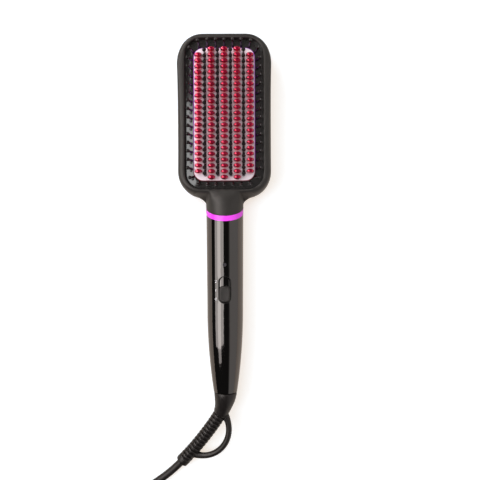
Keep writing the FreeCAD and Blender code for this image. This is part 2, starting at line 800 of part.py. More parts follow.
pocket_room = box("pocket_room", slider_width + running_gap * 2, pocket_length, axis_height * 2, as_size(0),
                  slider_south - running_gap, axis_height)
slider_pocket = common("slider_pocket", cylinder("pocket_round", slider_radius + running_gap, pocket_length, 0,
                                                 slider_south - running_gap, axis_height, True), pocket_room)
part("handle_front_shell", cut("front_shell", front_tube, [switch_slot, lens_hole, slider_pocket]
                               + handle_screw_holes))

# Ribs in the back shell carry the board
board_low = axis_height + board_height
board_top = board_low + board_thickness
rib_places = [board_north - shell_wall * 4, board_south + shell_wall * 3]
rib_width = board_width * 0.8
rib_low = axis_height - root(handle_bore * handle_bore - rib_width * rib_width / 4) - shell_wall / 3
board_ribs = []
for index, y in enumerate(rib_places):
    board_ribs.append(box(f"board_rib_{index}", rib_width, shell_wall, board_low - rib_low, as_size(0), y, rib_low))
back_tube = fuse("back_tube", [common("handle_back", handle_tube, back_room),
                               common("back_boss_trim", back_bosses, handle_outer)] + board_ribs)
part("handle_back_shell", cut("back_shell", back_tube, handle_screw_holes + handle_head_holes))
handle_screw_solids = []
for x, y in handle_screw_places:
    foot = Vector(float(x), float(y), float(handle_screw_low))
    crown = Part.makeCylinder(float(clamp_screw), float(handle_screw_seat - handle_screw_low), foot)
    shank = Part.makeCylinder(float(clamp_screw / 2), float(handle_screw_top - handle_screw_low), foot)
    handle_screw_solids.append(crown.fuse(shank).removeSplitter())
shapes("handle_screws", handle_screw_solids)

# Control board with its components
board_middle = board_low + board_thickness / 2
part("control_board", box("board", board_width, board_north - board_south, board_thickness, as_size(0), board_south,
                          board_low))
chip_side = size("chip_side", 7.0)
chip_height = size("chip_height", 1.4)
film_width = size("film_width", 16.0)
film_height = size("film_height", 8.0)
film_depth = size("film_depth", 9.0)
triac_width = size("triac_width", 10.0)
triac_height = size("triac_height", 9.0)
triac_depth = size("triac_depth", 4.6)
can_diameter = size("can_diameter", 8.0)
can_length = size("can_length", 12.0)
led_diameter = size("led_diameter", 3.0)
led_height = size("led_height", 4.0)
doc.recompute()
part("controller_chip", box("chip", chip_side, chip_side, chip_height, as_size(0), rib_places[1] - chip_side / 2,
                            board_top))
film_place = rib_places[0] - film_depth - shell_wall * 2
part("film_capacitor", box("film", film_width, film_depth, film_height, as_size(0), film_place,
                           board_low - film_height))
triac_place = film_place - triac_depth - shell_wall * 2
part("triac", box("triac_block", triac_width, triac_depth, triac_height, as_size(0), triac_place,
                  board_low - triac_height))
can_place = rib_places[1] + shell_wall * 2
part("electrolytic_capacitor", cylinder("can", can_diameter / 2, can_length, 0, can_place,
                                        board_low - can_diameter / 2, True))
part("indicator_led", cylinder("led", led_diameter / 2, led_height, 0, lens_place, board_top))
lens_low = axis_height + handle_bore - shell_wall / 2
lens_top = axis_height + neck_radius - fit_gap
lens_stem = cylinder("lens_stem", lens_diameter * 0.4, lens_low - board_top - led_height + 0.1, 0, lens_place,
                     board_top + led_height)
lens_head = cylinder("lens_head", lens_diameter / 2, lens_top - lens_low, 0, lens_place, lens_low)
part("indicator_lens", fuse("lens", [lens_stem, lens_head]))

# Slide switch: body on the board, lever, curved slider under the slot and thumb pad above it
lever_rest = slot_centre - switch_travel / 2
switch_top = board_top + switch_body_height
switch_block = box("switch_block", switch_body_width, switch_body_length, switch_body_height, as_size(0),
                   slot_centre - switch_body_length / 2, board_top)
track_length = switch_travel + lever_side + running_gap * 2
track_depth = switch_body_height * 0.4
switch_track = box("switch_track", lever_side + running_gap * 2, track_length, switch_body_height, as_size(0),
                   slot_centre - track_length / 2, switch_top - track_depth)
part("switch_body", cut("switch_case", switch_block, [switch_track]))
slider_tube = cut("slider_tube", cylinder("slider_outer", slider_radius, slider_length, 0, slider_south, axis_height,
                                          True),
                  [cylinder("slider_hollow", slider_inner, slider_length, 0, slider_south, axis_height, True)])
slider_room = box("slider_room", slider_width, slider_length, axis_height * 2, as_size(0), slider_south, axis_height)
part("switch_slider", common("slider", slider_tube, slider_room))
lever_low = switch_top - track_depth + running_gap
lever_post = box("lever_post", lever_side, lever_side, axis_height, as_size(0), lever_rest - lever_side / 2, lever_low)
lever_limit = cylinder("lever_limit", slider_inner, slider_length, 0, slider_south, axis_height, True)
part("switch_lever", common("lever", lever_post, lever_limit))
thumb_centre = slot_centre - slot_length / 2 + running_gap * 1.6 + thumb_length / 2
thumb_top = axis_height + grip_radius + thumb_proud
thumb_block = rounded_block("thumb_block", thumb_width, thumb_length, thumb_centre, axis_height + handle_bore * 0.8,
                            thumb_top, slot_corner * 0.88)
round_edges(thumb_block, thumb_proud * 0.6, at_height(thumb_top))
thumb_seat = cylinder("thumb_seat", slider_radius, slider_length, 0, slider_south, axis_height, True)
part("switch_thumb_pad", cut("thumb_pad", thumb_block, [thumb_seat]))

# Cord swivel: spindle and slip rings turn, bulkhead and leaf contacts stay
spindle_end = handle_end - boot_gap
flange_face = bore_end + running_gap
flange_back = flange_face + end_wall * 0.6
stem_end = bulkhead_place - bulkhead_thickness - running_gap * 3
pivot_radius = spindle_radius / 2
pivot_end = bulkhead_place + bulkhead_thickness / 2
part("swivel_spindle", revolve("spindle", [
    (spindle_end, as_size(0)), (spindle_end, spindle_neck), (flange_face, spindle_neck),
    (flange_face, spindle_flange), (flange_back, spindle_flange), (flange_back, spindle_radius),
    (stem_end, spindle_radius), (stem_end, pivot_radius), (pivot_end, pivot_radius), (pivot_end, as_size(0)),
]))
far_ring = slip_ring_radius * 1.12
far_ring_place = flange_back + running_gap * 3
near_ring_place = far_ring_place + slip_ring_width * 1.8
ring_bodies = []
for name, place, radius in (("far", far_ring_place, far_ring), ("near", near_ring_place, slip_ring_radius)):
    ring_bodies.append(revolve(f"{name}_slip_ring", [
        (place, spindle_radius), (place, radius), (place + slip_ring_width, radius),
        (place + slip_ring_width, spindle_radius),
    ]))
slip_rings = doc.addObject("Part::Compound", "slip_ring_pair")
slip_rings.Links = ring_bodies
part("slip_rings", slip_rings)
bulkhead_south = bulkhead_place - bulkhead_thickness
bulkhead_run = taper_start - bulkhead_south
bore_there = handle_bore - bore_arc + root(bore_arc * bore_arc - bulkhead_run * bulkhead_run)
bulkhead = cylinder("bulkhead", bore_there - fit_gap / 3, bulkhead_thickness, 0, bulkhead_south, axis_height, True)
pivot_hole = cylinder("pivot_hole", pivot_radius + fit_gap / 2, bulkhead_thickness * 3, 0,
                      bulkhead_south - bulkhead_thickness, axis_height, True)
leaf_width = spindle_radius * 0.6
leaf_gap = fit_gap / 2
leaf_north = bulkhead_place + bulkhead_thickness * 0.7
far_leaf = box("far_leaf", leaf_width, leaf_north - far_ring_place, leaf_thickness, as_size(0), far_ring_place,
               axis_height + far_ring + leaf_gap)
near_leaf = box("near_leaf", leaf_width, leaf_north - near_ring_place, leaf_thickness, as_size(0), near_ring_place,
                axis_height - slip_ring_radius - leaf_gap - leaf_thickness)
part("contact_bulkhead", cut("bulkhead_cut", bulkhead, [pivot_hole, far_leaf, near_leaf]))
leaves = doc.addObject("Part::Compound", "leaves")
leaves.Links = [far_leaf, near_leaf]
part("contact_leaves", leaves)
doc.recompute()


def facing(wire, centre, normal, side):
    """Wire drawn flat on XY, moved to a centre and turned to face along normal with side as its own X."""
    rotation = FreeCAD.Rotation(side, normal.cross(side), normal, "ZXY")
    wire.Placement = FreeCAD.Placement(centre, rotation)
    return wire


def bends(points):
    """Straight runs joined by tangent arcs."""
    edges = []
    radii = []
    last = points[0]
    for before, corner, after in zip(points, points[1:], points[2:]):
        way_in = (corner - before).normalize()
        way_out = (after - corner).normalize()
        half = way_in.getAngle(way_out) / 2
        reach = 0.45 * min(before.distanceToPoint(corner), corner.distanceToPoint(after))
        radius = reach / math.tan(half)
        inward = (way_out - way_in).normalize() * (radius / math.cos(half) - radius)
        first, end = corner - way_in * reach, corner + way_out * reach
        edges.append(Part.LineSegment(last, first).toShape())
        edges.append(Part.Arc(first, corner + inward, end).toShape())
        radii.append(round(radius, 1))
        last = end
    edges.append(Part.LineSegment(last, points[-1]).toShape())
    return edges, radii


def sweep(edges, radius, sides):
    """Tube of a few flat sides along joined edges."""
    path = Part.Wire(edges)
    first = edges[0]
    ahead = first.tangentAt(first.FirstParameter)
    side = ahead.cross(Vector(0, 0, 1)).normalize()
    section = facing(polygon(Vector(), radius, radius, sides), edges[0].Vertexes[0].Point, ahead, side)
    return path.makePipeShell([section], True, False)


WIRE_SIDES = 6
lead_solids = []
wire_radius = float(wire_diameter / 2)
lead_x = float(boss_diameter)
wire_level = float(board_middle)
stack_middle = float(ledge_height - sensor_radius)
opening_south = float(field_centre - plate_length / 2)
lead_end = float(heater_south - sensor_length - fit_gap * 1.2)
for side in SIDES:
    points = [
        Vector(side * lead_x, float(board_north), wire_level),
        Vector(side * lead_x, float(-spigot_length), wire_level),
        Vector(side * lead_x * 1.2, float(paddle_heel) * 0.4, float(axis_height) - 3 * wire_radius),
        Vector(side * lead_x * 1.6, opening_south - 1.5 * wire_radius, float(axis_height) - 2.4 * wire_radius),
        Vector(side * float(sensor_column), lead_end - 1.6 * wire_radius, stack_middle),
        Vector(side * float(sensor_column), lead_end, stack_middle),
    ]
    edges, radii = bends(points)
    lead_solids.append(sweep(edges, wire_radius, WIRE_SIDES))
shapes("heater_leads", lead_solids)
mains_solids = []
for side, level in ((1, axis_height + far_ring + leaf_gap + leaf_thickness / 2),
                    (-1, axis_height - slip_ring_radius - leaf_gap - leaf_thickness / 2)):
    contact = float(leaf_north)
    boss_place = float(handle_screw_places[1][1])
    points = [
        Vector(side * lead_x, float(board_south), wire_level),
        Vector(side * lead_x, boss_place - lead_x, wire_level),
        Vector(0, contact + 7, float(level)),
        Vector(0, contact, float(level)),
    ]
    edges, radii = bends(points)
    mains_solids.append(sweep(edges, wire_radius, WIRE_SIDES))
shapes("mains_leads", mains_solids)

# Boot: a cone that bends from the handle's axis to the ribbed tail
cord_radius = float(cord_diameter) / 2
coil_level = cord_radius + float(tie_thickness) + 0.05
first_run = 1.75 * float(cord_diameter)
boot_top = Vector(0, float(spindle_end), float(axis_height))
bend_end = Vector(-4.95, float(handle_end) - 19.7, float(axis_height) - 2.8)
slope = (bend_end.z - coil_level - 0.35) / (float(tail_length) + first_run)
flat = math.sqrt(1 - slope * slope)
TAIL_HEADINGS = (237.4, 226.1)


def heading(degrees):
    return Vector(math.cos(math.radians(degrees)), math.sin(math.radians(degrees)), 0)


def falling(degrees):
    """Direction over the ground that falls as the tail does."""
    return heading(degrees) * flat - Vector(0, 0, slope)


def tail_heading(share):
    return TAIL_HEADINGS[0] + (TAIL_HEADINGS[1] - TAIL_HEADINGS[0]) * share


def tail_place(share):
    """Point on the tail's bowed middle line, from the bend (0) to the cord (1)."""
    bow = math.radians(tail_heading(share) - TAIL_HEADINGS[0])
    stretch = float(tail_length) * share * (math.sin(bow / 2) / (bow / 2) if bow else 1)
    return bend_end + falling(tail_heading(share / 2)) * stretch


tail_way = falling(TAIL_HEADINGS[0])
loop_along = falling(sum(TAIL_HEADINGS) / 2)
loop_way = heading(sum(TAIL_HEADINGS) / 2 + 90) + Vector(0, 0, 0.149)
loop_way = (loop_way - loop_along * loop_way.dot(loop_along)).normalize()


def ring_wire(centre, normal, radius):
    side = normal.cross(Vector(0, 0, 1)).normalize()
    return facing(Part.Wire(Part.makeCircle(radius)), centre, normal, side)


BEND_STATIONS = ((0, 0), (0.2, 0.1), (0.45, 0.44), (0.72, 0.82), (1, 1))
guides = [boot_top, boot_top + Vector(0, -6.0, 0), bend_end - tail_way * 4.5, bend_end]
cone_wires = []
for way, thinning in BEND_STATIONS:
    rest = 1 - way
    centre = guides[0] * rest ** 3 + guides[1] * (3 * rest * rest * way)
    centre += guides[2] * (3 * rest * way * way) + guides[3] * way ** 3
    ahead = (guides[1] - guides[0]) * (rest * rest) + (guides[2] - guides[1]) * (2 * rest * way)
    ahead = (ahead + (guides[3] - guides[2]) * (way * way)).normalize()
    radius = float(boot_radius) + thinning * (float(boot_waist) - float(boot_radius))
    cone_wires.append(ring_wire(centre, ahead, radius))
cone = Part.makeLoft(cone_wires, True, False)

# Ribbed tail: flat-topped ribs that shrink toward the cord
collar_share = 0.11
rib_share = (1 - collar_share) / tail_ribs
tail_rings = []
for rib in range(tail_ribs):
    crown = float(rib_radius) + (float(rib_end_radius) - float(rib_radius)) * rib / (tail_ribs - 1)
    groove = crown - float(rib_depth)
    for share, radius in ((0, groove), (0.25, groove), (0.4, crown), (0.85, crown)):
        tail_rings.append(((rib + share) * rib_share, radius))
for share in (1 - collar_share, 1):
    tail_rings.append((share, float(rib_end_radius)))
tail_wires = [ring_wire(tail_place(share), falling(tail_heading(share)), radius) for share, radius in tail_rings]
ribbed = Part.makeLoft(tail_wires, True, True)
boot_shape = cone.fuse(ribbed)
part("cord_boot", plain("boot", boot_shape))

# Hanging loop: bowed strand whose ends meet the boot
strand = float(loop_thickness) / 2
loop_centre = bend_end + loop_along * 19.0 - loop_way * 4.4


def loop_point(angle):
    bow = math.radians(angle)
    reach = float(loop_radius)
    return loop_centre + loop_along * (reach * math.cos(bow)) + loop_way * (reach * math.sin(bow))


loop_arc = Part.Arc(loop_point(16), loop_point(90), loop_point(164)).toShape()
loop_ahead = loop_arc.tangentAt(loop_arc.FirstParameter)
loop_section = facing(Part.Wire(Part.makeCircle(strand)), loop_point(16), loop_ahead, loop_along.cross(loop_way))
loop_shape = Part.Wire([loop_arc]).makePipeShell([loop_section], True, False).cut(boot_shape)
loop_shape = max(loop_shape.Solids, key=lambda solid: solid.Volume)
part("hanging_loop", plain("loop", loop_shape))

# Cord: free stretch from the tail, a wound coil of two layers, and the run to the plug
CORD_SIDES = 8
CORD_HEADINGS = (TAIL_HEADINGS[1], 216.0, 211.0)
tail_end = tail_place(1)
first_bend = tail_end + falling(CORD_HEADINGS[0]) * first_run
second_bend = first_bend + heading(CORD_HEADINGS[1]) * (2.8 * float(cord_diameter))
second_bend.z = coil_level
coil_way = heading(CORD_HEADINGS[2])
coil_start = second_bend + coil_way * (2.8 * float(cord_diameter))
cord_points = [tail_end, first_bend, second_bend, coil_start]
cord_edges, cord_radii = bends(cord_points)
part("power_cord", plain("cord", sweep(cord_edges, cord_radius, CORD_SIDES)))

coil_pitch = float(cord_diameter + coil_gap)
coil_step = float(cord_diameter) + 0.6
outer_radius = float(coil_inner_radius) + coil_pitch * coil_layer_turns
inward_lean = math.degrees(math.atan(coil_pitch / (2 * math.pi * outer_radius)))
start_angle = CORD_HEADINGS[2] - 90 - inward_lean
coil_entry = coil_start + coil_way * float(cord_diameter)
coil_centre = coil_entry - heading(start_angle) * outer_radius
coil_turns = math.floor(2 * coil_layer_turns) + (270 - start_angle) / 360


def coil_radius(turn):
    return float(coil_inner_radius) + coil_pitch * abs(turn - coil_layer_turns)


def coil_place(turn):
    """Point of the cord's middle after so many turns: inward, a climb where it turns back, then outward."""
    climb = min(max((turn - coil_layer_turns + 0.25) / 0.5, 0), 1)
    place = coil_centre + heading(start_angle + 360 * turn) * coil_radius(turn)
    place.z = coil_level + coil_step * (1 - math.cos(math.pi * climb)) / 2
    return place


def coil_tangent(turn):
    return (coil_place(turn + 1e-4) - coil_place(turn - 1e-4)).normalize()


def arc_from(first, tangent, last):
    """Arc that leaves first along tangent and ends at last."""
    chord = last - first
    along = Vector(chord).normalize()
    lean = tangent.getAngle(chord)
    aside = (tangent - along * tangent.dot(along)).normalize()
    return Part.Arc(first, (first + last) * 0.5 + aside * (chord.Length / 2 * math.tan(lean / 2)), last).toShape()


def two_arcs(first, first_way, last, last_way):
    """Pair of arcs that leave and arrive along given directions."""
    chord = last - first
    spread = 2 * (1 - first_way.dot(last_way))
    along = 2 * chord.dot(first_way + last_way)
    reach = (math.sqrt(along * along + 4 * spread * chord.dot(chord)) - along) / (2 * spread)
    middle = (first + last + (first_way - last_way) * reach) * 0.5
    arcs = [arc_from(first, first_way, middle)]
    backward = arc_from(last, last_way * -1, middle)
    points = [backward.valueAt(backward.LastParameter), backward.valueAt(
        (backward.FirstParameter + backward.LastParameter) / 2), backward.valueAt(backward.FirstParameter)]
    arcs.append(Part.Arc(*points).toShape())
    return arcs


coil_steps = round(coil_turns * 4)
turns = [coil_turns * index / coil_steps for index in range(coil_steps + 1)]
places = [coil_place(turn) for turn in turns]
ways = [coil_way] + [coil_tangent(turn) for turn in turns[1:]]
coil_end = places[-1] + ways[-1] * float(cord_diameter)
coil_edges = [Part.LineSegment(coil_start, places[0]).toShape()]
for index in range(coil_steps):
    coil_edges += two_arcs(places[index], ways[index], places[index + 1], ways[index + 1])
coil_edges.append(Part.LineSegment(places[-1], coil_end).toShape())
part("power_cord_coil", plain("coil", sweep(coil_edges, cord_radius, CORD_SIDES)))

END_HEADINGS = (28.0, 60.0)
plug_level = float(plug_thickness) / 2
end_run = 3.6 * float(cord_diameter)
end_bend = coil_end + ways[-1] * end_run
lift_bend = end_bend + heading(END_HEADINGS[0]) * end_run
lift_bend.z = plug_level
plug_way = heading(END_HEADINGS[1])
plug_start = lift_bend + plug_way * end_run
end_points = [coil_end, end_bend, lift_bend, plug_start]
end_edges, end_radii = bends(end_points)
part("power_cord_end", plain("cord_end", sweep(end_edges, cord_radius, CORD_SIDES)))

# Tie round the bundle
tie_angle = 215
tie_turn = (tie_angle - start_angle) / 360
tied = [coil_radius(tie_turn + index) for index in range(int(coil_turns - tie_turn) + 1)]
slack = float(tie_width) ** 2 / (8 * min(tied)) + float(coil_gap) / 2
tie_in = min(tied) - cord_radius - slack
tie_out = max(tied) + cord_radius + float(coil_gap) / 2
tie_rise = coil_level + coil_step + cord_radius + 0.1
tie_wall = float(tie_thickness)
band = Part.makeBox(tie_out - tie_in + 2 * tie_wall, float(tie_width), tie_rise + tie_wall,
                    Vector(tie_in - tie_wall, -float(tie_width) / 2, 0))
hollow = Part.makeBox(tie_out - tie_in, float(tie_width) * 2, tie_rise - tie_wall,
                      Vector(tie_in, -float(tie_width), tie_wall))
lengthwise = [edge for edge in band.Edges if edge.BoundBox.YLength > 1]
tie_shape = band.makeFillet(1.6 * tie_wall, lengthwise).cut(hollow)
tie = part("cord_tie", plain("tie", tie_shape))
tie.Placement = FreeCAD.Placement(Vector(coil_centre.x, coil_centre.y, 0), FreeCAD.Rotation(Vector(0, 0, 1), tie_angle))

# Plug: moulded body with a collar, and two flat blades
collar_length = plug_length / 3
plug_turn = FreeCAD.Rotation(Vector(0, 0, 1), END_HEADINGS[1])
body_start = plug_start + plug_way * float(collar_length)
body_foot = Vector(body_start.x, body_start.y, 0)
plug_corner = size("plug_corner", 5.0)
doc.recompute()
plug = pad("plug", "YZ_Plane", 0, rectangle(plug_width / 2, as_size(0), plug_thickness), plug_length - collar_length)
round_edges(plug, plug_corner, lambda edge: edge.BoundBox.XLength > 1)
round_edges(plug, plug_corner / 2, lambda edge: edge.BoundBox.XMax < 1e-4)
plug.Placement = FreeCAD.Placement(body_foot, plug_turn)
collar = doc.addObject("Part::Cone", "plug_collar")
bind(collar, "Radius1", cord_diameter * 0.7)
bind(collar, "Radius2", cord_diameter * 0.95)
bind(collar, "Height", collar_length)
collar.Placement = FreeCAD.Placement(plug_start, plug_turn.multiply(FreeCAD.Rotation(Vector(0, 1, 0), 90)))
blade_root = plug_length / 5
blades = []
for index, side in enumerate(SIDES):
    blade = doc.addObject("Part::Box", f"blade_{index}")
    bind(blade, "Length", blade_length + blade_root)
    bind(blade, "Width", blade_thickness)
    bind(blade, "Height", blade_width)
    front = float(plug_length - collar_length - blade_root)
    across = side * float(blade_spread) / 2 - float(blade_thickness) / 2
    corner = Vector(front, across, plug_level - float(blade_width) / 2)
    blade.Placement = FreeCAD.Placement(body_foot + plug_turn.multVec(corner), plug_turn)
    blades.append(blade)
doc.recompute()
part("plug_body", cut("plug_moulding", fuse("plug_solid", [plug, collar]), blades))
blade_pair = doc.addObject("Part::Compound", "blade_pair")
blade_pair.Links = blades
part("plug_blades", blade_pair)
doc.recompute()

# Checks, then one file for each sub-part
for item in doc.Objects:
    if "Invalid" in item.State or "Error" in item.State:
        raise RuntimeError(f"{item.Name} did not build")
os.makedirs("parts", exist_ok=True)
for node, item in parts.items():
    if item.Shape.isNull() or not item.Shape.isValid():
        raise RuntimeError(f"{node} is not a valid shape")
    item.Shape.exportStep(f"parts/{node}.step")
print("bend radii of the cord", cord_radii, end_radii)
print(len(parts), "sub-parts written")
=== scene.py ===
"""Dresses the hair straightening brush: finishes, bristle field, boot, cord and a plain studio."""

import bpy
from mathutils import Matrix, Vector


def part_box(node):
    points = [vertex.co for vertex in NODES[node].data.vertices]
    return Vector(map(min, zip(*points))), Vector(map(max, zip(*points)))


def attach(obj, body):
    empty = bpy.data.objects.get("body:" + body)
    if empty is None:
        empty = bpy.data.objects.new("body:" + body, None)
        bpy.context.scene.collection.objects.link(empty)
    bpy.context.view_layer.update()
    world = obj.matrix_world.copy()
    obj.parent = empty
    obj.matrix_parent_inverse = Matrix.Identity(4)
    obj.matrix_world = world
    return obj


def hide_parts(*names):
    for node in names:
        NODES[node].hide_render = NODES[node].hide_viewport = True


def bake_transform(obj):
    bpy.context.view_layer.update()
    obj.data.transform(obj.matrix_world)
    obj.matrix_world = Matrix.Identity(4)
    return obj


bl_info = {
    "name": "Hair Straightening Brush",
    "version": (1, 0, 0),
    "blender": (4, 5, 0),
    "location": "3D View > Sidebar > Brush",
    "description": "Models and finishes a heated paddle brush around its solid frame",
    "category": "Object",
}

import math

import bpy
from bpy.props import FloatProperty, FloatVectorProperty, PointerProperty
from mathutils import Matrix, Vector

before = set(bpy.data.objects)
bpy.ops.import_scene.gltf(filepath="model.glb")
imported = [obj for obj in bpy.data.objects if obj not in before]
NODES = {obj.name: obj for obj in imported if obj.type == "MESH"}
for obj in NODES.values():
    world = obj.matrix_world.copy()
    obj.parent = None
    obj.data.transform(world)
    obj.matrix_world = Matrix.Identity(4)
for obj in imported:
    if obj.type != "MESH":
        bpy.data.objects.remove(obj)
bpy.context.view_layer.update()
MM = 0.001
UP = Vector((0, 0, 1))
SOUTH = 270


# Sizes and colours that a user would change


def corners(node):
    """Lowest and highest corner of a solid."""
    return [Vector(corner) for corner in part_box(node)]


PLATE_LOW, PLATE_HIGH = corners("heating_plate")
PLATE_FLANGE = 1.5 * MM
GUARD_LOW, GUARD_HIGH = corners("guard_bristles")


def length(name, description, default):
    return FloatProperty(name=name, description=description, default=default, unit="LENGTH", precision=5)


def colour(name, description, default):
    return FloatVectorProperty(name=name, description=description, default=default, subtype="COLOR", size=3,
                               min=0.0, max=1.0)


class BrushSizes(bpy.types.PropertyGroup):
    column_pitch: length("Column pitch", "Distance between columns of heated posts", 10.45 * MM)
    row_pitch: length("Row pitch", "Distance between rows of heated posts", 4.7 * MM)
    field_centre: length("Field centre", "Middle of the bristle field along the brush",
                         (PLATE_LOW.y + PLATE_HIGH.y) / 2)
    plate_top: length("Plate top", "Height of the heated plate's face", PLATE_HIGH.z)
    plate_half_width: length("Plate half width", "Half the width of the plate's face",
                             PLATE_HIGH.x - PLATE_FLANGE)
    plate_half_length: length("Plate half length", "Half the length of the plate's face",
                              (PLATE_HIGH.y - PLATE_LOW.y) / 2 - PLATE_FLANGE)
    plate_corner: length("Plate corner", "Corner radius of the plate's face", 8.0 * MM)
    post_height: length("Post height", "Height of a heated post above the plate",
                        corners("heating_posts")[1].z - PLATE_HIGH.z)
    bristle_height: length("Bristle height", "Height of an inner bristle above the plate",
                           corners("inner_bristles")[1].z - PLATE_HIGH.z)
    guard_height: length("Guard height", "Height of a guard bristle above the recess floor",
                         GUARD_HIGH.z - GUARD_LOW.z)
    guard_pitch: length("Guard pitch", "Distance between guard bristles", 6.8 * MM)
    axis_height: length("Axis height", "Height of the handle's axis", corners("head_back_cover")[1].z)
    cord_diameter: length("Cord diameter", "Thickness of the mains cord", 6.4 * MM)


class BrushColours(bpy.types.PropertyGroup):
    shell: colour("Shell", "Matte plastic of the paddle", (0.023, 0.0205, 0.019))
    grip: colour("Grip", "Gloss plastic of the handle", (0.114, 0.104, 0.099))
    nylon: colour("Nylon", "Bristles", (0.005, 0.0015, 0.002))
    gutter: colour("Gutter", "Floor of the recess round the plate", (0.03, 0.027, 0.026))
    plate: colour("Plate", "Heated plate", (0.98, 0.83, 0.90))
    # The plate's rim colours are painted light: a violet glint along the rolled edge, and dark red painted
    # shade at the handle end
    plate_edge_glint: colour("Plate edge", "Tinted rim of the heated plate", (0.55, 0.05, 0.75))
    plate_end_shade: colour("Plate end", "Rim of the heated plate at the handle end", (0.3, 0.01, 0.03))
    post: colour("Post", "Heated posts", (0.84, 0.003, 0.075))
    ring: colour("Ring", "Trim ring", (1.0, 0.07, 0.95))
    rubber: colour("Rubber", "Boot, loop and cord", (0.0085, 0.0068, 0.0066))
    strap: colour("Strap", "Tie round the coiled cord", (0.012, 0.012, 0.012))
    thumb: colour("Thumb pad", "Switch pad", (0.022, 0.020, 0.019))
    slot_shade: colour("Slot lip", "Rolled edge of the switch slot", (0.004, 0.0035, 0.0035))
    # Painted shade: black for the tube that stands in for the shadow gap round the switch slot
    lens: colour("Lens", "Indicator light, unlit", (0.05, 0.045, 0.05))
    mark: colour("Mark", "Printed switch marks", (0.7, 0.67, 0.69))


# Node materials


class Value:
    """A socket that takes part in arithmetic; each step adds a Math node."""

    def __init__(self, nodes, socket):
        self.nodes = nodes
        self.socket = socket

    def math(self, operation, *others):
        node = self.nodes.node("ShaderNodeMath", operation=operation)
        for slot, term in zip(node.inputs, (self, *others)):
            self.nodes.feed(slot, term)
        return Value(self.nodes, node.outputs[0])

    def __add__(self, other):
        return self.math("ADD", other)

    def __sub__(self, other):
        return self.math("SUBTRACT", other)

    def __mul__(self, other):
        return self.math("MULTIPLY", other)

    def __rsub__(self, other):
        return self.nodes.number(other).math("SUBTRACT", self)

    __radd__ = __add__
    __rmul__ = __mul__

    def above(self, low, high):
        """0 on low's side, 1 on high's side, smooth between."""
        node = self.nodes.node("ShaderNodeMapRange", {"Value": self, "From Min": low, "From Max": high},
                               interpolation_type="SMOOTHSTEP")
        return Value(self.nodes, node.outputs["Result"])


class Nodes:
    """A node tree whose nodes are made from their settings and sockets."""

    def __init__(self, tree, output):
        self.tree = tree
        self.tree.nodes.clear()
        self.output = self.node(output)

    def feed(self, slot, term):
        if isinstance(term, Value):
            term = term.socket
        if isinstance(term, bpy.types.NodeSocket):
            self.tree.links.new(term, slot)
        else:
            slot.default_value = term

    def node(self, kind, sockets=None, **settings):
        node = self.tree.nodes.new(kind)
        for name, setting in settings.items():
            setattr(node, name, setting)
        for name, term in (sockets or {}).items():
            self.feed(node.inputs[name], term)
        return node

    def number(self, amount):
        node = self.node("ShaderNodeValue")
        node.outputs[0].default_value = amount
        return Value(self, node.outputs[0])

    def surface(self, shader):
        self.feed(self.output.inputs["Surface"], shader.outputs[0])


class Finish(Nodes):
    """One procedural material around a Principled shader."""

    def __init__(self, name):
        self.material = bpy.data.materials.new(name)
        self.material.use_nodes = True
        super().__init__(self.material.node_tree, "ShaderNodeOutputMaterial")
        self.shader = self.node("ShaderNodeBsdfPrincipled")
        self.surface(self.shader)
        self.place = self.node("ShaderNodeTexCoord").outputs["Object"]

    def noise(self, scale, detail, stretch=None):
        place = self.place
        if stretch:
            place = self.node("ShaderNodeMapping", {"Vector": place, "Scale": stretch}).outputs[0]
        node = self.node("ShaderNodeTexNoise", {"Vector": place, "Scale": scale, "Detail": detail})
        return Value(self, node.outputs["Fac"])

    def axes(self):
        split = self.node("ShaderNodeSeparateXYZ", {"Vector": self.place})
        return [Value(self, socket) for socket in split.outputs]

    def mix(self, share, first, second):
        """Colour between two colours, each a triple or a socket."""
        node = self.node("ShaderNodeMix", data_type="RGBA")
        slots = [slot for slot in node.inputs if slot.enabled]
        for slot, term in zip(slots, (share, first, second)):
            self.feed(slot, (*term, 1.0) if isinstance(term, tuple) else term)
        return [slot for slot in node.outputs if slot.enabled][0]

    def tint(self, tone, share, darker, lighter):
        """A colour that wanders between a darker and a lighter tone of itself."""
        low = tuple(channel * darker for channel in tone)
        high = tuple(min(channel * lighter, 1.0) for channel in tone)
        return self.mix(share, low, high)

    def bump(self, height, strength, depth):
        node = self.node("ShaderNodeBump", {"Strength": strength, "Distance": depth, "Height": height})
        self.feed(self.shader.inputs["Normal"], node.outputs[0])

    def set(self, sockets):
        for name, term in sockets.items():
            if isinstance(term, tuple):
                term = (*term, 1.0)
            self.feed(self.shader.inputs[name], term)
        return self.material


def moulded_matte(name, tone, roughness, grain=2400.0):
    """Spark-textured moulding with a faint sheen that wanders."""
    finish = Finish(name)
    cloud = finish.noise(scale=28.0, detail=3.0)
    fine = finish.noise(scale=grain, detail=1.0)
    finish.bump(fine, strength=0.22, depth=0.05 * MM)
    return finish.set({
        "Base Color": finish.tint(tone, cloud, 0.9, 1.1),
        "Roughness": cloud * 0.08 + (roughness - 0.04),
        "Specular Tint": (1.0, 0.92, 0.87),
    })


def polished(name, ripple):
    """A finish with flow ripple of the given strength, and its handling haze."""
    finish = Finish(name)
    finish.bump(finish.noise(scale=60.0, detail=1.0), strength=ripple, depth=0.05 * MM)
    return finish, finish.noise(scale=45.0, detail=4.0, stretch=(1.0, 0.35, 1.0))


def moulded_gloss(name, tone, roughness, index):
    """Polished moulding with faint haze and ripple."""
    finish, haze = polished(name, ripple=0.05)
    return finish.set({
        "Base Color": finish.tint(tone, haze, 0.85, 1.15),
        "Roughness": haze.above(0.45, 0.75) * 0.05 + roughness,
        "IOR": index,
    })


def piano_black(name, tone, roughness):
    """Deep black lacquer: nearly all that is seen of it is what it mirrors."""
    finish, haze = polished(name, ripple=0.012)
    return finish.set({
        "Base Color": finish.tint(tone, haze, 0.94, 1.06),
        "Metallic": 1.0,
        "Roughness": haze.above(0.45, 0.75) * 0.04 + roughness,
    })


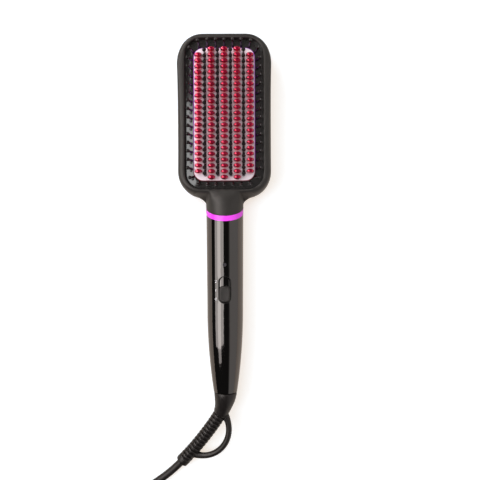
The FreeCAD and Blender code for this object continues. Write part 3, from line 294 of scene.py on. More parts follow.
def soft_rubber(name, tone, roughness, grain):
    """Rubber with a dusty bloom that comes and goes."""
    finish = Finish(name)
    bloom = finish.noise(scale=160.0, detail=4.0)
    fine = finish.noise(scale=grain, detail=2.0)
    finish.bump(fine, strength=0.3, depth=0.06 * MM)
    return finish.set({
        "Base Color": finish.tint(tone, bloom, 0.8, 1.25),
        "Roughness": bloom * 0.14 + (roughness - 0.07),
        "Specular Tint": (1.0, 0.92, 0.88),
    })


def brushed_metal(name, tone, roughness, stretch):
    """Metal with fine drawn lines."""
    finish = Finish(name)
    lines = finish.noise(scale=900.0, detail=2.0, stretch=stretch)
    finish.bump(lines, strength=0.12, depth=0.03 * MM)
    return finish.set({
        "Base Color": finish.tint(tone, lines, 0.92, 1.04),
        "Metallic": 1.0,
        "Roughness": lines * 0.16 + (roughness - 0.08),
    })


def plate_metal(sizes, colours):
    """Rosy anodised plate whose rolled edge carries a painted violet glint that turns to painted dark red
    shade at the handle end.
    """
    # Painted glint in violet within these distances of the plate's edge; painted dark red shade takes it over
    # between these places towards the handle end
    glint_starts, glint_full = 0.75 * MM, 0.3 * MM
    end_shade_starts, end_shade_full = -30.0 * MM, -53.0 * MM
    finish = Finish("plate_metal")
    across, along = finish.axes()[:2]
    along = along - sizes.field_centre
    corner = sizes.plate_corner
    past_side = (across.math("ABSOLUTE") - (sizes.plate_half_width - corner)).math("MAXIMUM", 0.0)
    past_end = (along.math("ABSOLUTE") - (sizes.plate_half_length - corner)).math("MAXIMUM", 0.0)
    from_middle = (past_side * past_side + past_end * past_end).math("SQRT")
    # edge masks the band of painted glint, and rim holds its colour: violet glint, turning to painted dark
    # red shade towards the handle end
    edge = from_middle.above(corner - glint_starts, corner - glint_full)
    rim = finish.mix(along.above(end_shade_starts, end_shade_full), tuple(colours.plate_edge_glint), tuple(colours.plate_end_shade))
    lines = finish.noise(scale=700.0, detail=2.0, stretch=(1.0, 0.08, 1.0))
    face = finish.tint(colours.plate, lines, 0.95, 1.05)
    finish.bump(lines, strength=0.1, depth=0.03 * MM)
    return finish.set({
        "Base Color": finish.mix(edge, face, rim),
        "Metallic": 0.2,
        "Roughness": lines * 0.12 + 0.3,
    })


def post_enamel(tone):
    """Crimson lacquer over metal."""
    finish = Finish("post_enamel")
    cloud = finish.noise(scale=300.0, detail=2.0)
    finish.bump(cloud, strength=0.03, depth=0.05 * MM)
    return finish.set({
        "Base Color": finish.tint(tone, cloud, 0.9, 1.1),
        "Metallic": 0.8,
        "Roughness": cloud * 0.08 + 0.12,
        "Coat Weight": cloud * 0.1 + 0.9,
        "Coat Roughness": 0.06,
        "Coat IOR": 1.8,
    })


# Modelling helpers


def deselect():
    """Leave edit mode and select nothing."""
    if bpy.context.object and bpy.context.object.mode != "OBJECT":
        bpy.ops.object.mode_set(mode="OBJECT")
    bpy.ops.object.select_all(action="DESELECT")


def linked(item):
    """Put a new object in the scene."""
    bpy.context.scene.collection.objects.link(item)
    return item


def only(*objects):
    """Select these objects alone, the first one active."""
    deselect()
    for item in objects:
        item.select_set(True)
    bpy.context.view_layer.objects.active = objects[0]


def smooth(item, degrees):
    """Shade an object smooth, with edges sharper than an angle left sharp."""
    only(item)
    bpy.ops.object.shade_smooth_by_angle(angle=math.radians(degrees))


def leave_edit():
    """Turn every face of the edited mesh outwards and go back to object mode."""
    bpy.ops.mesh.select_all(action="SELECT")
    bpy.ops.mesh.normals_make_consistent(inside=False)
    bpy.ops.object.mode_set(mode="OBJECT")


def extrude(rise):
    """Extrude what is selected upwards."""
    bpy.ops.mesh.extrude_region_move(TRANSFORM_OT_translate={"value": (0, 0, rise)})


def settle(item, name, material, body, replaced):
    """Bake an object's place into its mesh, finish it and hang it on its body."""
    only(item)
    bpy.ops.object.transform_apply(location=True, rotation=True, scale=True)
    item.name = name
    item.data.name = name
    item.data.materials.clear()
    item.data.materials.append(material)
    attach(item, body)
    if replaced:
        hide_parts(*replaced)
    return item


def dress(node, material):
    """Give a solid of the frame its finish."""
    mesh = NODES[node].data
    mesh.materials.clear()
    mesh.materials.append(material)


def rounded_plate(place, width, depth, corner, segments):
    """Flat plate with round corners, left in edit mode with its face selected."""
    deselect()
    bpy.ops.mesh.primitive_plane_add(size=1.0, location=place)
    item = bpy.context.object
    item.scale = (width, depth, 1.0)
    bpy.ops.object.transform_apply(location=False, rotation=False, scale=True)
    bpy.ops.object.mode_set(mode="EDIT")
    bpy.ops.mesh.select_all(action="SELECT")
    bpy.ops.mesh.bevel(offset=corner, segments=segments, affect="VERTICES", profile=0.5)
    return item


def turned(name, sides, rings, oval=1.0):
    """Closed post of rings (height, half width), extruded from a disc; oval is its depth to its width."""
    deselect()
    height, half = rings[0]
    bpy.ops.mesh.primitive_circle_add(vertices=sides, radius=1.0, fill_type="NGON", location=(0, 0, 0))
    item = bpy.context.object
    bpy.ops.object.mode_set(mode="EDIT")
    bpy.ops.mesh.select_all(action="SELECT")
    bpy.ops.transform.resize(value=(half, half * oval, 1.0))
    bpy.ops.transform.translate(value=(0, 0, height))
    for upper, wide in rings[1:]:
        extrude(upper - height)
        bpy.ops.transform.resize(value=(wide / half, wide / half, 1.0))
        height, half = upper, wide
    leave_edit()
    item.name = name
    return item


def planted(item, places):
    """Copies of one modelled piece, each with its own mesh, put in their places and joined."""
    copies = []
    for place in places:
        copy = item.copy()
        copy.data = item.data.copy()
        copy.data.transform(place)
        copies.append(linked(copy))
    bpy.data.objects.remove(item)
    only(*copies)
    bpy.ops.object.join()
    joined = bpy.context.object
    smooth(joined, 50)
    return joined


def smooth_line(name, places, resolution, closed=False):
    """NURBS curve with the places as its control points, with no thickness yet."""
    curve = bpy.data.curves.new(name, "CURVE")
    curve.dimensions = "3D"
    curve.resolution_u = resolution
    strand = curve.splines.new("NURBS")
    strand.points.add(len(places) - 1)
    for point, place in zip(strand.points, places):
        point.co = (*place, 1.0)
    strand.order_u = 3
    strand.use_cyclic_u = closed
    strand.use_endpoint_u = not closed
    return linked(bpy.data.objects.new(name, curve))


def tube(line, radius, rounding):
    """Mesh of a curve with a round section and closed ends."""
    line.data.bevel_depth = radius
    line.data.bevel_resolution = rounding
    line.data.use_fill_caps = True
    only(line)
    bpy.ops.object.convert(target="MESH")
    item = bpy.context.object
    only(item)
    bpy.ops.object.shade_smooth()
    return item


def cast(node, start, way):
    """Where a straight line first meets a solid, and the solid's normal there."""
    found, place, normal = NODES[node].ray_cast(start, way)[:3]
    if not found:
        raise RuntimeError(f"{node} isn't met from {tuple(start)}")
    return place, normal


def heading(degrees):
    """Level direction at an angle from the brush's right."""
    return Vector((math.cos(math.radians(degrees)), math.sin(math.radians(degrees)), 0))


def cubic(guides, way):
    """Point at a share of the way along the curve that four guide points draw."""
    rest = 1 - way
    return (guides[0] * rest ** 3 + guides[1] * (3 * rest * rest * way)
            + guides[2] * (3 * rest * way * way) + guides[3] * way ** 3)


# Groups of pieces, each with its sizes, functions and operator


CAMERA_PLACE = Vector((12.4, -30.8, 520.0)) * MM
CAMERA_TURN = -0.0038
LENS = {"sensor_width": 36.0, "lens": 45.8, "shift_y": 10.0 / 480.0, "clip_start": 10.0 * MM}
FLOOR_SIZE = 6.0

# Each light's place, the point it faces, its two sides and its watts
LIGHTS = {
    "softbox": ((-0.66, -0.03, 0.88), (0.0, -0.03, 0.0), (0.8, 1.1), 6.6),
    "softbox_core": ((-0.6, -0.05, 0.81), (0.0, -0.05, 0.0), (0.9, 0.36), 1.8),
    "back_light": ((-0.75, 1.0, 0.9), (0.0, 0.05, 0.0), (0.7, 0.6), 10.0),
    "fill": ((0.15, 0.3, 1.6), (0.0, 0.0, 0.0), (1.6, 1.6), 11.5),
}

# The floor's colour in bounced light and to the camera, and the glow that makes it look white
FLOOR_BOUNCED = (0.42, 0.40, 0.385)
FLOOR_SEEN = (0.42, 0.58, 0.74)
GLOW = (1.0, 0.84, 0.68)
GLOW_SEEN = 0.72
GLOW_MIRRORED = 0.42

# The surroundings go from dim to pale between these two sideways parts of a direction
PALE_FROM, PALE_TO = 0.40, 0.56
DIM, PALE = 0.05, 0.8


def top_camera(scene):
    """Camera that looks straight down on the brush."""
    view = bpy.data.cameras.new("camera")
    for name, setting in LENS.items():
        setattr(view, name, setting)
    camera = linked(bpy.data.objects.new("camera", view))
    camera.location = CAMERA_PLACE
    camera.rotation_euler = (0.0, 0.0, CAMERA_TURN)
    scene.camera = camera


def white_floor():
    """Floor that keeps the shadow and shows white to the camera and in reflections."""
    finish = Finish("white_floor")
    path = finish.node("ShaderNodeLightPath")
    seen = Value(finish, path.outputs["Is Camera Ray"])
    mirrored = Value(finish, path.outputs["Is Glossy Ray"]) + path.outputs["Is Transmission Ray"]
    strength = seen * GLOW_SEEN + mirrored.math("MINIMUM", 1.0) * GLOW_MIRRORED
    glow = finish.node("ShaderNodeEmission", {"Color": (*GLOW, 1.0), "Strength": strength})
    sheet = finish.mix(seen, FLOOR_BOUNCED, FLOOR_SEEN)
    finish.set({"Base Color": sheet, "Roughness": 0.9, "Specular IOR Level": 0.0})
    both = finish.node("ShaderNodeAddShader", {0: finish.shader.outputs[0], 1: glow.outputs[0]})
    finish.surface(both)
    return finish.material


def surroundings(scene):
    """Pale studio to the camera, dim above and paler to the right for light and reflections."""
    scene.world = bpy.data.worlds.new("studio")
    scene.world.use_nodes = True
    studio = Nodes(scene.world.node_tree, "ShaderNodeOutputWorld")
    path = studio.node("ShaderNodeLightPath")
    place = studio.node("ShaderNodeTexCoord")
    split = studio.node("ShaderNodeSeparateXYZ", {"Vector": place.outputs["Generated"]})
    ramp = studio.node("ShaderNodeMapRange", {
        "Value": split.outputs["X"], "From Min": PALE_FROM, "From Max": PALE_TO,
        "To Min": DIM, "To Max": PALE,
    })
    dim = studio.node("ShaderNodeBackground", {"Strength": ramp.outputs[0]})
    white = studio.node("ShaderNodeBackground", {"Strength": 1.0})
    studio.surface(studio.node("ShaderNodeMixShader", {
        0: path.outputs["Is Camera Ray"], 1: dim.outputs[0], 2: white.outputs[0],
    }))


def light_panel(name, place, target, size, watts):
    """Rectangular light that faces a point."""
    light = bpy.data.lights.new(name, "AREA")
    light.shape = "RECTANGLE"
    light.size, light.size_y = size
    light.energy = watts
    lamp = linked(bpy.data.objects.new(name, light))
    lamp.location = place
    lamp.rotation_euler = (Vector(target) - Vector(place)).to_track_quat("-Z", "Y").to_euler()
    return lamp


class BRUSH_OT_stage(bpy.types.Operator):
    """Floor, lights, surroundings and the camera above the table"""

    bl_idname = "brush.stage"
    bl_label = "Stage"

    def execute(self, context):
        scene = context.scene
        scene.view_settings.view_transform = "Standard"
        deselect()
        bpy.ops.mesh.primitive_plane_add(size=FLOOR_SIZE, location=(0, 0, 0))
        floor = context.object
        floor.name = "floor"
        floor.data.materials.append(white_floor())
        surroundings(scene)
        lamps = {name: light_panel(name, *settings) for name, settings in LIGHTS.items()}
        lamps["fill"].visible_glossy = False
        top_camera(scene)
        return {"FINISHED"}


# The rays go out from the hub, closer together over the neck; edges are found by halving
HUB = Vector((0, 60, 0)) * MM
RAYS = [*range(90, 226, 2), *(226 + 0.8 * step for step in range(111)), *range(316, 452, 2)]
PAST_RECESS = 150.0 * MM
OUTSIDE = 200.0 * MM
HALVINGS = 40

# Recess: half its straight sides, its corners, and its wall's heights and steps out in millimetres
RECESS_HALF_X = 18.5 * MM
RECESS_HALF_Y = 47.8 * MM
RECESS_CORNER = 13.5 * MM
WALL = ((20.2, 0.0), (25.2, 0.0), (25.75, 0.25), (26.0, 0.8))

# Neck, its slanted edge at the trim ring, and the degrees over which it turns into the side
NECK_RADIUS = 15.4 * MM
RING_EDGE = 4.05 * MM
RING_SLANT = 7.5 * MM
NECK_LEAD = 12.0 * MM
NECK_CORE = 2.0
NECK_SPREAD = 44.0

# The paddle's side rises straight from the parting line, and its edge tucks in there
SIDE_RISE = 9.8 * MM
TUCK = 0.25 * MM
BELOW_PARTING = 0.2 * MM

# How level the top leaves the rim, and its points, the last just short of the edge
BOW_NECK = 0.34
BOW_SIDE = 0.62
RAY_STEPS = 18
RAY_LAST = 17.2


def head_front(sizes, material):
    """Grid whose columns become the rays, closed where the last ray meets the first."""
    rays = [head_ray(sizes, angle) for angle in RAYS]
    rays[-1] = rays[0]
    across, down = len(rays) - 1, len(rays[0]) - 1
    deselect()
    bpy.ops.mesh.primitive_grid_add(x_subdivisions=across, y_subdivisions=down, size=1.0,
                                    location=(0, 0, 0))
    item = bpy.context.object
    for vertex in item.data.vertices:
        column = round((vertex.co.x + 0.5) * across)
        row = round((vertex.co.y + 0.5) * down)
        vertex.co = rays[column][row]
    bpy.ops.object.mode_set(mode="EDIT")
    bpy.ops.mesh.select_all(action="SELECT")
    bpy.ops.mesh.remove_doubles(threshold=0.01 * MM)
    leave_edit()
    smooth(item, 40)
    settle(item, "head_front", material, "brush", ["head_front_frame"])


def past_straight(sizes, place):
    """How far a point lies past the straight sides of the recess, across and along."""
    along = place.y - sizes.field_centre
    past_x = max(abs(place.x) - RECESS_HALF_X, 0.0)
    past_y = max(abs(along) - RECESS_HALF_Y, 0.0)
    return Vector((math.copysign(past_x, place.x), math.copysign(past_y, along), 0))


def halved(most, holds):
    """Largest value up to most for which a test holds."""
    low, high = 0.0, most
    for halving in range(HALVINGS):
        middle = (low + high) / 2
        if holds(middle):
            low = middle
        else:
            high = middle
    return low


def recess_edge(sizes, angle):
    """Where a ray leaves the recess, and the wall's outward direction there."""
    def inside(way):
        return past_straight(sizes, HUB + heading(angle) * way).length <= RECESS_CORNER

    place = HUB + heading(angle) * halved(PAST_RECESS, inside)
    return place, past_straight(sizes, place).normalized()


def parting_line(sizes, angle):
    """Where a ray meets the parting line, the way up and the way along the line."""
    level = UP * (sizes.axis_height - BELOW_PARTING)
    start = HUB + level + heading(angle) * OUTSIDE
    place, normal = cast("head_back_cover", start, -heading(angle))
    along = Vector((-normal.y, normal.x, 0)).normalized()
    return Vector((place.x, place.y, sizes.axis_height)), UP, along if along.y >= 0 else -along


def ring_point(sizes, turn):
    """Point on the edge at the trim ring, at a turn about the handle's axis."""
    rise = math.sin(turn)
    return Vector((NECK_RADIUS * math.cos(turn), RING_EDGE - RING_SLANT * rise,
                   sizes.axis_height + NECK_RADIUS * rise))


def ring_edge(sizes, angle):
    """Where a ray meets the trim ring, the way up round the neck and the way along the neck."""
    def right_of_ray(turn):
        place = ring_point(sizes, turn)
        return place.x / (HUB.y - place.y) > math.tan(math.radians(angle - SOUTH))

    turn = halved(math.pi, right_of_ray)
    upward = Vector((-math.sin(turn), 0, math.cos(turn)))
    return ring_point(sizes, turn), upward if angle >= SOUTH else -upward, Vector((0, 1, 0))


def head_ray(sizes, angle):
    """Points from the recess floor over the rim to the parting line or along the neck to the ring."""
    aside = abs(angle - SOUTH)
    over_neck = aside < math.degrees(math.atan2(NECK_RADIUS, HUB.y - RING_EDGE))
    inner, out = recess_edge(sizes, angle)
    outer, upward, onward = (ring_edge if over_neck else parting_line)(sizes, angle)
    share = min(max((aside - NECK_CORE) / NECK_SPREAD, 0.0), 1.0)
    share = share * share * (3 - 2 * share)
    wall = [inner + (UP * height + out * step) * MM for height, step in WALL]
    rim = wall[-1]
    reach = (Vector((outer.x, outer.y, rim.z)) - rim).length
    bow = BOW_NECK + (BOW_SIDE - BOW_NECK) * share
    guides = [rim, rim + out * bow * reach,
              outer + upward * SIDE_RISE * share + onward * NECK_LEAD * (1 - share), outer]
    top = [cubic(guides, step / RAY_LAST) for step in range(1, RAY_STEPS)]
    axis = Vector((0, outer.y, sizes.axis_height))
    return wall + top + [outer - (outer - axis).normalized() * TUCK]


class BRUSH_OT_head(bpy.types.Operator):
    """Shells of the head; the front is drawn as rays from the recess to the parting line or the ring"""

    bl_idname = "brush.head"
    bl_label = "Head"

    def execute(self, context):
        shell = moulded_matte("matte_shell", context.scene.brush_colours.shell, 0.45)
        dress("head_back_cover", shell)
        head_front(context.scene.brush_sizes, shell)
        return {"FINISHED"}


class BRUSH_OT_shells(bpy.types.Operator):
    """Finishes of the handle, trim ring, heated plate and indicator light"""

    bl_idname = "brush.shells"
    bl_label = "Shells"

    def execute(self, context):
        colours = context.scene.brush_colours
        grip = piano_black("gloss_shell", colours.grip, 0.05)
        for node in ("handle_front_shell", "handle_back_shell", "switch_slider"):
            dress(node, grip)
        dress("trim_ring", moulded_gloss("ring_plastic", colours.ring, 0.18, 1.45))
        dress("heating_plate", plate_metal(context.scene.brush_sizes, colours))
        dress("indicator_lens", moulded_gloss("lens", colours.lens, 0.1, 1.5))
        return {"FINISHED"}


STEEL = ("frame_screws", "clamp_screws", "handle_screws", "clamp_plate")
BRASS = ("contact_leaves", "slip_rings")
WIRES = ("heater_leads", "mains_leads")
AMBER = ("film_capacitor", "indicator_led")
BLACK = ("controller_chip", "triac", "electrolytic_capacitor", "temperature_sensor", "thermal_fuse",
         "switch_body", "switch_lever", "contact_bulkhead", "swivel_spindle", "bristle_strips")


class BRUSH_OT_insides(bpy.types.Operator):
    """Finishes of the heater stack, electronics, screws, contacts and plug blades"""

    bl_idname = "brush.insides"
    bl_label = "Insides"

    def execute(self, context):
        finishes = (
            (STEEL, brushed_metal("screw_steel", (0.55, 0.55, 0.56), 0.34, (1.0, 1.0, 0.1))),
            (BRASS, brushed_metal("contact_brass", (0.78, 0.57, 0.25), 0.3, (0.1, 1.0, 1.0))),
            (("plug_blades",), brushed_metal("blade_metal", (0.75, 0.68, 0.5), 0.26, (0.05, 1.0, 1.0))),
            (("ceramic_heaters",), moulded_matte("heater_ceramic", (0.8, 0.78, 0.74), 0.6)),
            (("mica_sheet",), moulded_matte("mica", (0.62, 0.5, 0.3), 0.35, 600.0)),
            (("control_board",), moulded_matte("solder_mask", (0.02, 0.14, 0.05), 0.35)),
            (AMBER, moulded_gloss("capacitor", (0.5, 0.3, 0.02), 0.2, 1.5)),
            (WIRES, soft_rubber("wire_jacket", (0.5, 0.5, 0.48), 0.5, 2000.0)),
            (BLACK, moulded_matte("component", (0.02, 0.02, 0.02), 0.5)),
        )
        for group, material in finishes:
            for node in group:
                dress(node, material)
        return {"FINISHED"}


ROWS = 23
OUTER_COLUMN = 2

# Recess floor: level, corner, and how it climbs from the wall in to the plate and dips under it
GUTTER_LEVEL = 20.6 * MM
GUTTER_CORNER = 13.3 * MM
GUTTER_EDGE = 0.1 * MM
GUTTER_STEPS = ((0.3, -0.04), (1.2, 0.11), (1.5, 0.14), (1.6, 0.15), (1.3, 0.12), (0.6, 0.03))
GUTTER_DIP = 1.4 * MM

# Post: half its oval, and the shares of its height and oval that round its top
POST_SIDES = 14
POST_HALF_X = 3.25 * MM
POST_HALF_Y = 1.85 * MM
POST_PROFILE = ((0, 1.0), (0.6, 0.99), (0.8, 0.955), (0.9, 0.87), (0.965, 0.72), (1.0, 0.48))

# Bristle: shares of its height and of its foot's radius, where its shaft runs from and to, and the ball's
# heights from its middle and radii; the shaft's end and the ball count in radii of the ball
FOOT_PROFILE = ((0, 1.0), (0.1, 0.94), (0.26, 0.66))
SHAFT_FROM = 0.44
SHAFT_TO = -0.95
BALL_PROFILE = ((-0.55, 0.86), (0, 1.0), (0.55, 0.84), (0.9, 0.42), (1.0, 0.1))

# Radii of a bristle's foot, shaft and ball
INNER_RADII = (1.35 * MM, 0.85 * MM, 1.7 * MM)
INNER_SIDES = 10
GUARD_RADII = (1.25 * MM, 1.0 * MM, 1.55 * MM)
GUARD_SIDES = 12
GUARD_OFFSET = 1.6 * MM
GUARD_LEAN = 3.0 * MM


def gutter(sizes, material):
    """Floor of the recess, falling outwards from the plate to the wall."""
    low, high = corners("guard_bezel")
    item = rounded_plate((0, sizes.field_centre, GUTTER_LEVEL), high.x - low.x, high.y - low.y,
                         GUTTER_CORNER, segments=12)
    extrude(GUTTER_EDGE)
    for inward, rise in GUTTER_STEPS:
        bpy.ops.mesh.inset(thickness=inward * MM, use_boundary=True)
        bpy.ops.transform.translate(value=(0, 0, rise * MM))
    extrude(-GUTTER_DIP)
    bpy.ops.mesh.delete(type="ONLY_FACE")
    leave_edit()
    smooth(item, 40)
    settle(item, "guard_gutter", material, "brush", ["guard_bezel"])


def spot(sizes, column, row):
    """Place on the plate, in columns and rows from the middle of the field."""
    return Matrix.Translation((column * sizes.column_pitch, sizes.field_centre + row * sizes.row_pitch,
                               sizes.plate_top))


def heated_posts(sizes, material):
    """Five columns, the two outer ones a post shorter at each end."""
    rings = [(share * sizes.post_height, POST_HALF_X * swell) for share, swell in POST_PROFILE]
    places = []
    for column in range(-OUTER_COLUMN, OUTER_COLUMN + 1):
        short = 1 if abs(column) == OUTER_COLUMN else 0
        for row in range(short, ROWS - short):
            places.append(spot(sizes, column, row - (ROWS - 1) / 2))
    item = planted(turned("post", POST_SIDES, rings, oval=POST_HALF_Y / POST_HALF_X), places)
    settle(item, "crimson_posts", material, "brush", ["heating_posts"])


def bristle(name, sides, height, foot, shaft, ball):
    """Cone foot, thin shaft and ball tip."""
    middle = height - ball
    rings = [(share * height, swell * foot) for share, swell in FOOT_PROFILE]
    rings += [(SHAFT_FROM * height, shaft), (middle + SHAFT_TO * ball, shaft)]
    rings += [(middle + rise * ball, swell * ball) for rise, swell in BALL_PROFILE]
    return turned(name, sides, rings)


def inner_bristles(sizes, material):
    """Four columns between those of the posts, half a row away from them."""
    item = bristle("bristle", INNER_SIDES, sizes.bristle_height, *INNER_RADII)
    columns = 2 * OUTER_COLUMN
    rows = ROWS - 1
    places = [spot(sizes, column - (columns - 1) / 2, row - (rows - 1) / 2)
              for column in range(columns) for row in range(rows)]
    settle(planted(item, places), "nylon_bristles", material, "brush",
           ["inner_bristles"])


def guard_ring(sizes, material):
    """Bristles at even steps round the plate, each leaning outwards."""
    item = bristle("guard", GUARD_SIDES, sizes.guard_height, *GUARD_RADII)
    lean = GUARD_LEAN / sizes.guard_height
    places = []
    for foot, out in round_plate(sizes):
        slant = Matrix.Identity(4)
        slant[0][2] = out.x * lean
        slant[1][2] = out.y * lean
        place = foot + Vector((0, sizes.field_centre, GUARD_LOW.z))
        places.append(Matrix.Translation(place) @ slant)
    settle(planted(item, places), "guard_ring_bristles", material, "brush",
           ["guard_bristles"])


def round_plate(sizes):
    """Places round the plate's middle and their outward directions, one in the middle of the far end."""
    radius = sizes.plate_corner + GUARD_OFFSET
    straight_x = sizes.plate_half_width - sizes.plate_corner
    straight_y = sizes.plate_half_length - sizes.plate_corner
    bend = math.pi / 2 * radius
    runs = [2 * straight_y, bend, 2 * straight_x, bend] * 2
    count = round(sum(runs) / sizes.guard_pitch)
    pitch = sum(runs) / count
    first = (runs[0] + runs[1] + runs[2] / 2) % pitch
    places = []
    for index in range(count):
        way = first + index * pitch
        run = 0
        while way > runs[run]:
            way -= runs[run]
            run += 1
        side = run // 2
        centre = Vector((straight_x if side in (0, 3) else -straight_x,
                         straight_y if side in (0, 1) else -straight_y, 0))
        if run % 2:
            out = heading(90 * side + math.degrees(way / radius))
            places.append((centre + out * radius, out))
        else:
            out = heading(90 * side)
            back = heading(90 * side - 90) * (runs[run] - way)
            places.append((centre + out * radius + back, out))
    return places


class BRUSH_OT_bristle_field(bpy.types.Operator):
    """Recess floor, heated posts, inner bristles and the ring of guard bristles"""

    bl_idname = "brush.bristle_field"
    bl_label = "Bristle field"

    def execute(self, context):
        sizes = context.scene.brush_sizes
        colours = context.scene.brush_colours
        nylon = colours.nylon
        gutter(sizes, moulded_gloss("gloss_floor", colours.gutter, 0.07, 1.95))
        heated_posts(sizes, post_enamel(colours.post))
        inner_bristles(sizes, moulded_gloss("nylon", nylon, 0.06, 1.36))
        guard_ring(sizes, moulded_gloss("guard_nylon", nylon, 0.1, 1.55))
        return {"FINISHED"}


# Pad: how far it starts above its foot, its corner, and each step's rise and draw-in in millimetres
PAD_FOOT = 0.4 * MM
PAD_CORNER = 3.1 * MM
PAD_STEPS = ((0.9, 0.05), (0.9, 0.25), (0.55, 0.3), (0.3, 0.3), (0.1, 0.35), (-0.06, 0.9), (-0.1, 1.1))

# Black tube of painted shade round the switch slot: its middle along the handle, half its straight sides, its
# corners, and its thickness
SHADE_TUBE_MIDDLE = -62.8 * MM
SHADE_TUBE_HALF_X = 0.45 * MM
SHADE_TUBE_HALF_Y = 6.15 * MM
SHADE_TUBE_CORNER = 4.62 * MM
SHADE_TUBE_RADIUS = 0.42 * MM
SHADE_TUBE_SINK = 0.26 * MM
SHADE_TUBE_POINTS = 7

# Numbers: what is printed where, and how it lies on the handle
MARKS = (("2", -56.3 * MM), ("1", -63.3 * MM), ("0", -70.3 * MM))
MARK_ACROSS = -7.15 * MM
MARK_LIFT = 0.07 * MM
LETTERING = {"align_x": "CENTER", "align_y": "CENTER", "size": 3.1 * MM, "offset": 0.03 * MM,
             "extrude": 0.04 * MM}

ABOVE_HANDLE = 60.0 * MM


def thumb_pad(material):
    """Rubber-touch pad with drawn-in sides and a shallow dish on top."""
    low, high = corners("switch_thumb_pad")
    width, depth = high.x - low.x, high.y - low.y
    place = ((low.x + high.x) / 2, (low.y + high.y) / 2, low.z + PAD_FOOT)
    item = rounded_plate(place, width, depth, PAD_CORNER, segments=8)
    for rise, inward in PAD_STEPS:
        extrude(rise * MM)
        bpy.ops.transform.resize(value=(1 - 2 * inward * MM / width, 1 - 2 * inward * MM / depth, 1.0))
    leave_edit()
    smooth(item, 50)
    settle(item, "thumb_pad", material, "switch", ["switch_thumb_pad"])


def on_handle(across, along):
    """Place and normal on top of the handle."""
    return cast("handle_front_shell", Vector((across, along, ABOVE_HANDLE)), -UP)


def slot_shade_tube(material):
    """Black tube laid on the round handle round the switch slot, painted shade standing in for the slot's
    shadow gap.
    """
    places = []
    for side, end, start in ((1, 1, 0), (-1, 1, 90), (-1, -1, 180), (1, -1, 270)):
        centre = Vector((side * SHADE_TUBE_HALF_X, SHADE_TUBE_MIDDLE + end * SHADE_TUBE_HALF_Y, 0))
        for step in range(SHADE_TUBE_POINTS):
            edge = centre + heading(start + 90 * step / (SHADE_TUBE_POINTS - 1)) * SHADE_TUBE_CORNER
            place, normal = on_handle(edge.x, edge.y)
            places.append(place - normal * SHADE_TUBE_SINK)
    line = smooth_line("slot_shade_tube", places, resolution=4, closed=True)
    item = tube(line, SHADE_TUBE_RADIUS, rounding=3)
    settle(item, "slot_shade_tube", material, "brush", [])


def switch_numbers(material):
    """Flat figures, wrapped on the round handle."""
    marks = []
    for text, along in MARKS:
        deselect()
        bpy.ops.object.text_add(location=(0, 0, 0))
        letter = bpy.context.object
        letter.data.body = text
        for name, setting in LETTERING.items():
            setattr(letter.data, name, setting)
        only(letter)
        bpy.ops.object.convert(target="MESH")
        letter = bpy.context.object
        for vertex in letter.data.vertices:
            place, normal = on_handle(MARK_ACROSS + vertex.co.x, along + vertex.co.y)
            vertex.co = place + normal * (vertex.co.z + MARK_LIFT)
        marks.append(letter)
    only(*marks)
    bpy.ops.object.join()
    settle(bpy.context.object, "switch_numbers", material, "brush", [])


class BRUSH_OT_switch(bpy.types.Operator):
    """Thumb pad, painted shade round its slot and printed numbers of the slide switch"""

    bl_idname = "brush.switch"
    bl_label = "Switch"

    def execute(self, context):
        colours = context.scene.brush_colours
        thumb_pad(moulded_matte("thumb_grip", colours.thumb, 0.5, 3200.0))
        # Painted shade: a black tube round the switch slot
        slot_shade_tube(moulded_matte("slot_shade_black", colours.slot_shade, 0.4))
        switch_numbers(moulded_matte("mark_ink", colours.mark, 0.5))
        return {"FINISHED"}


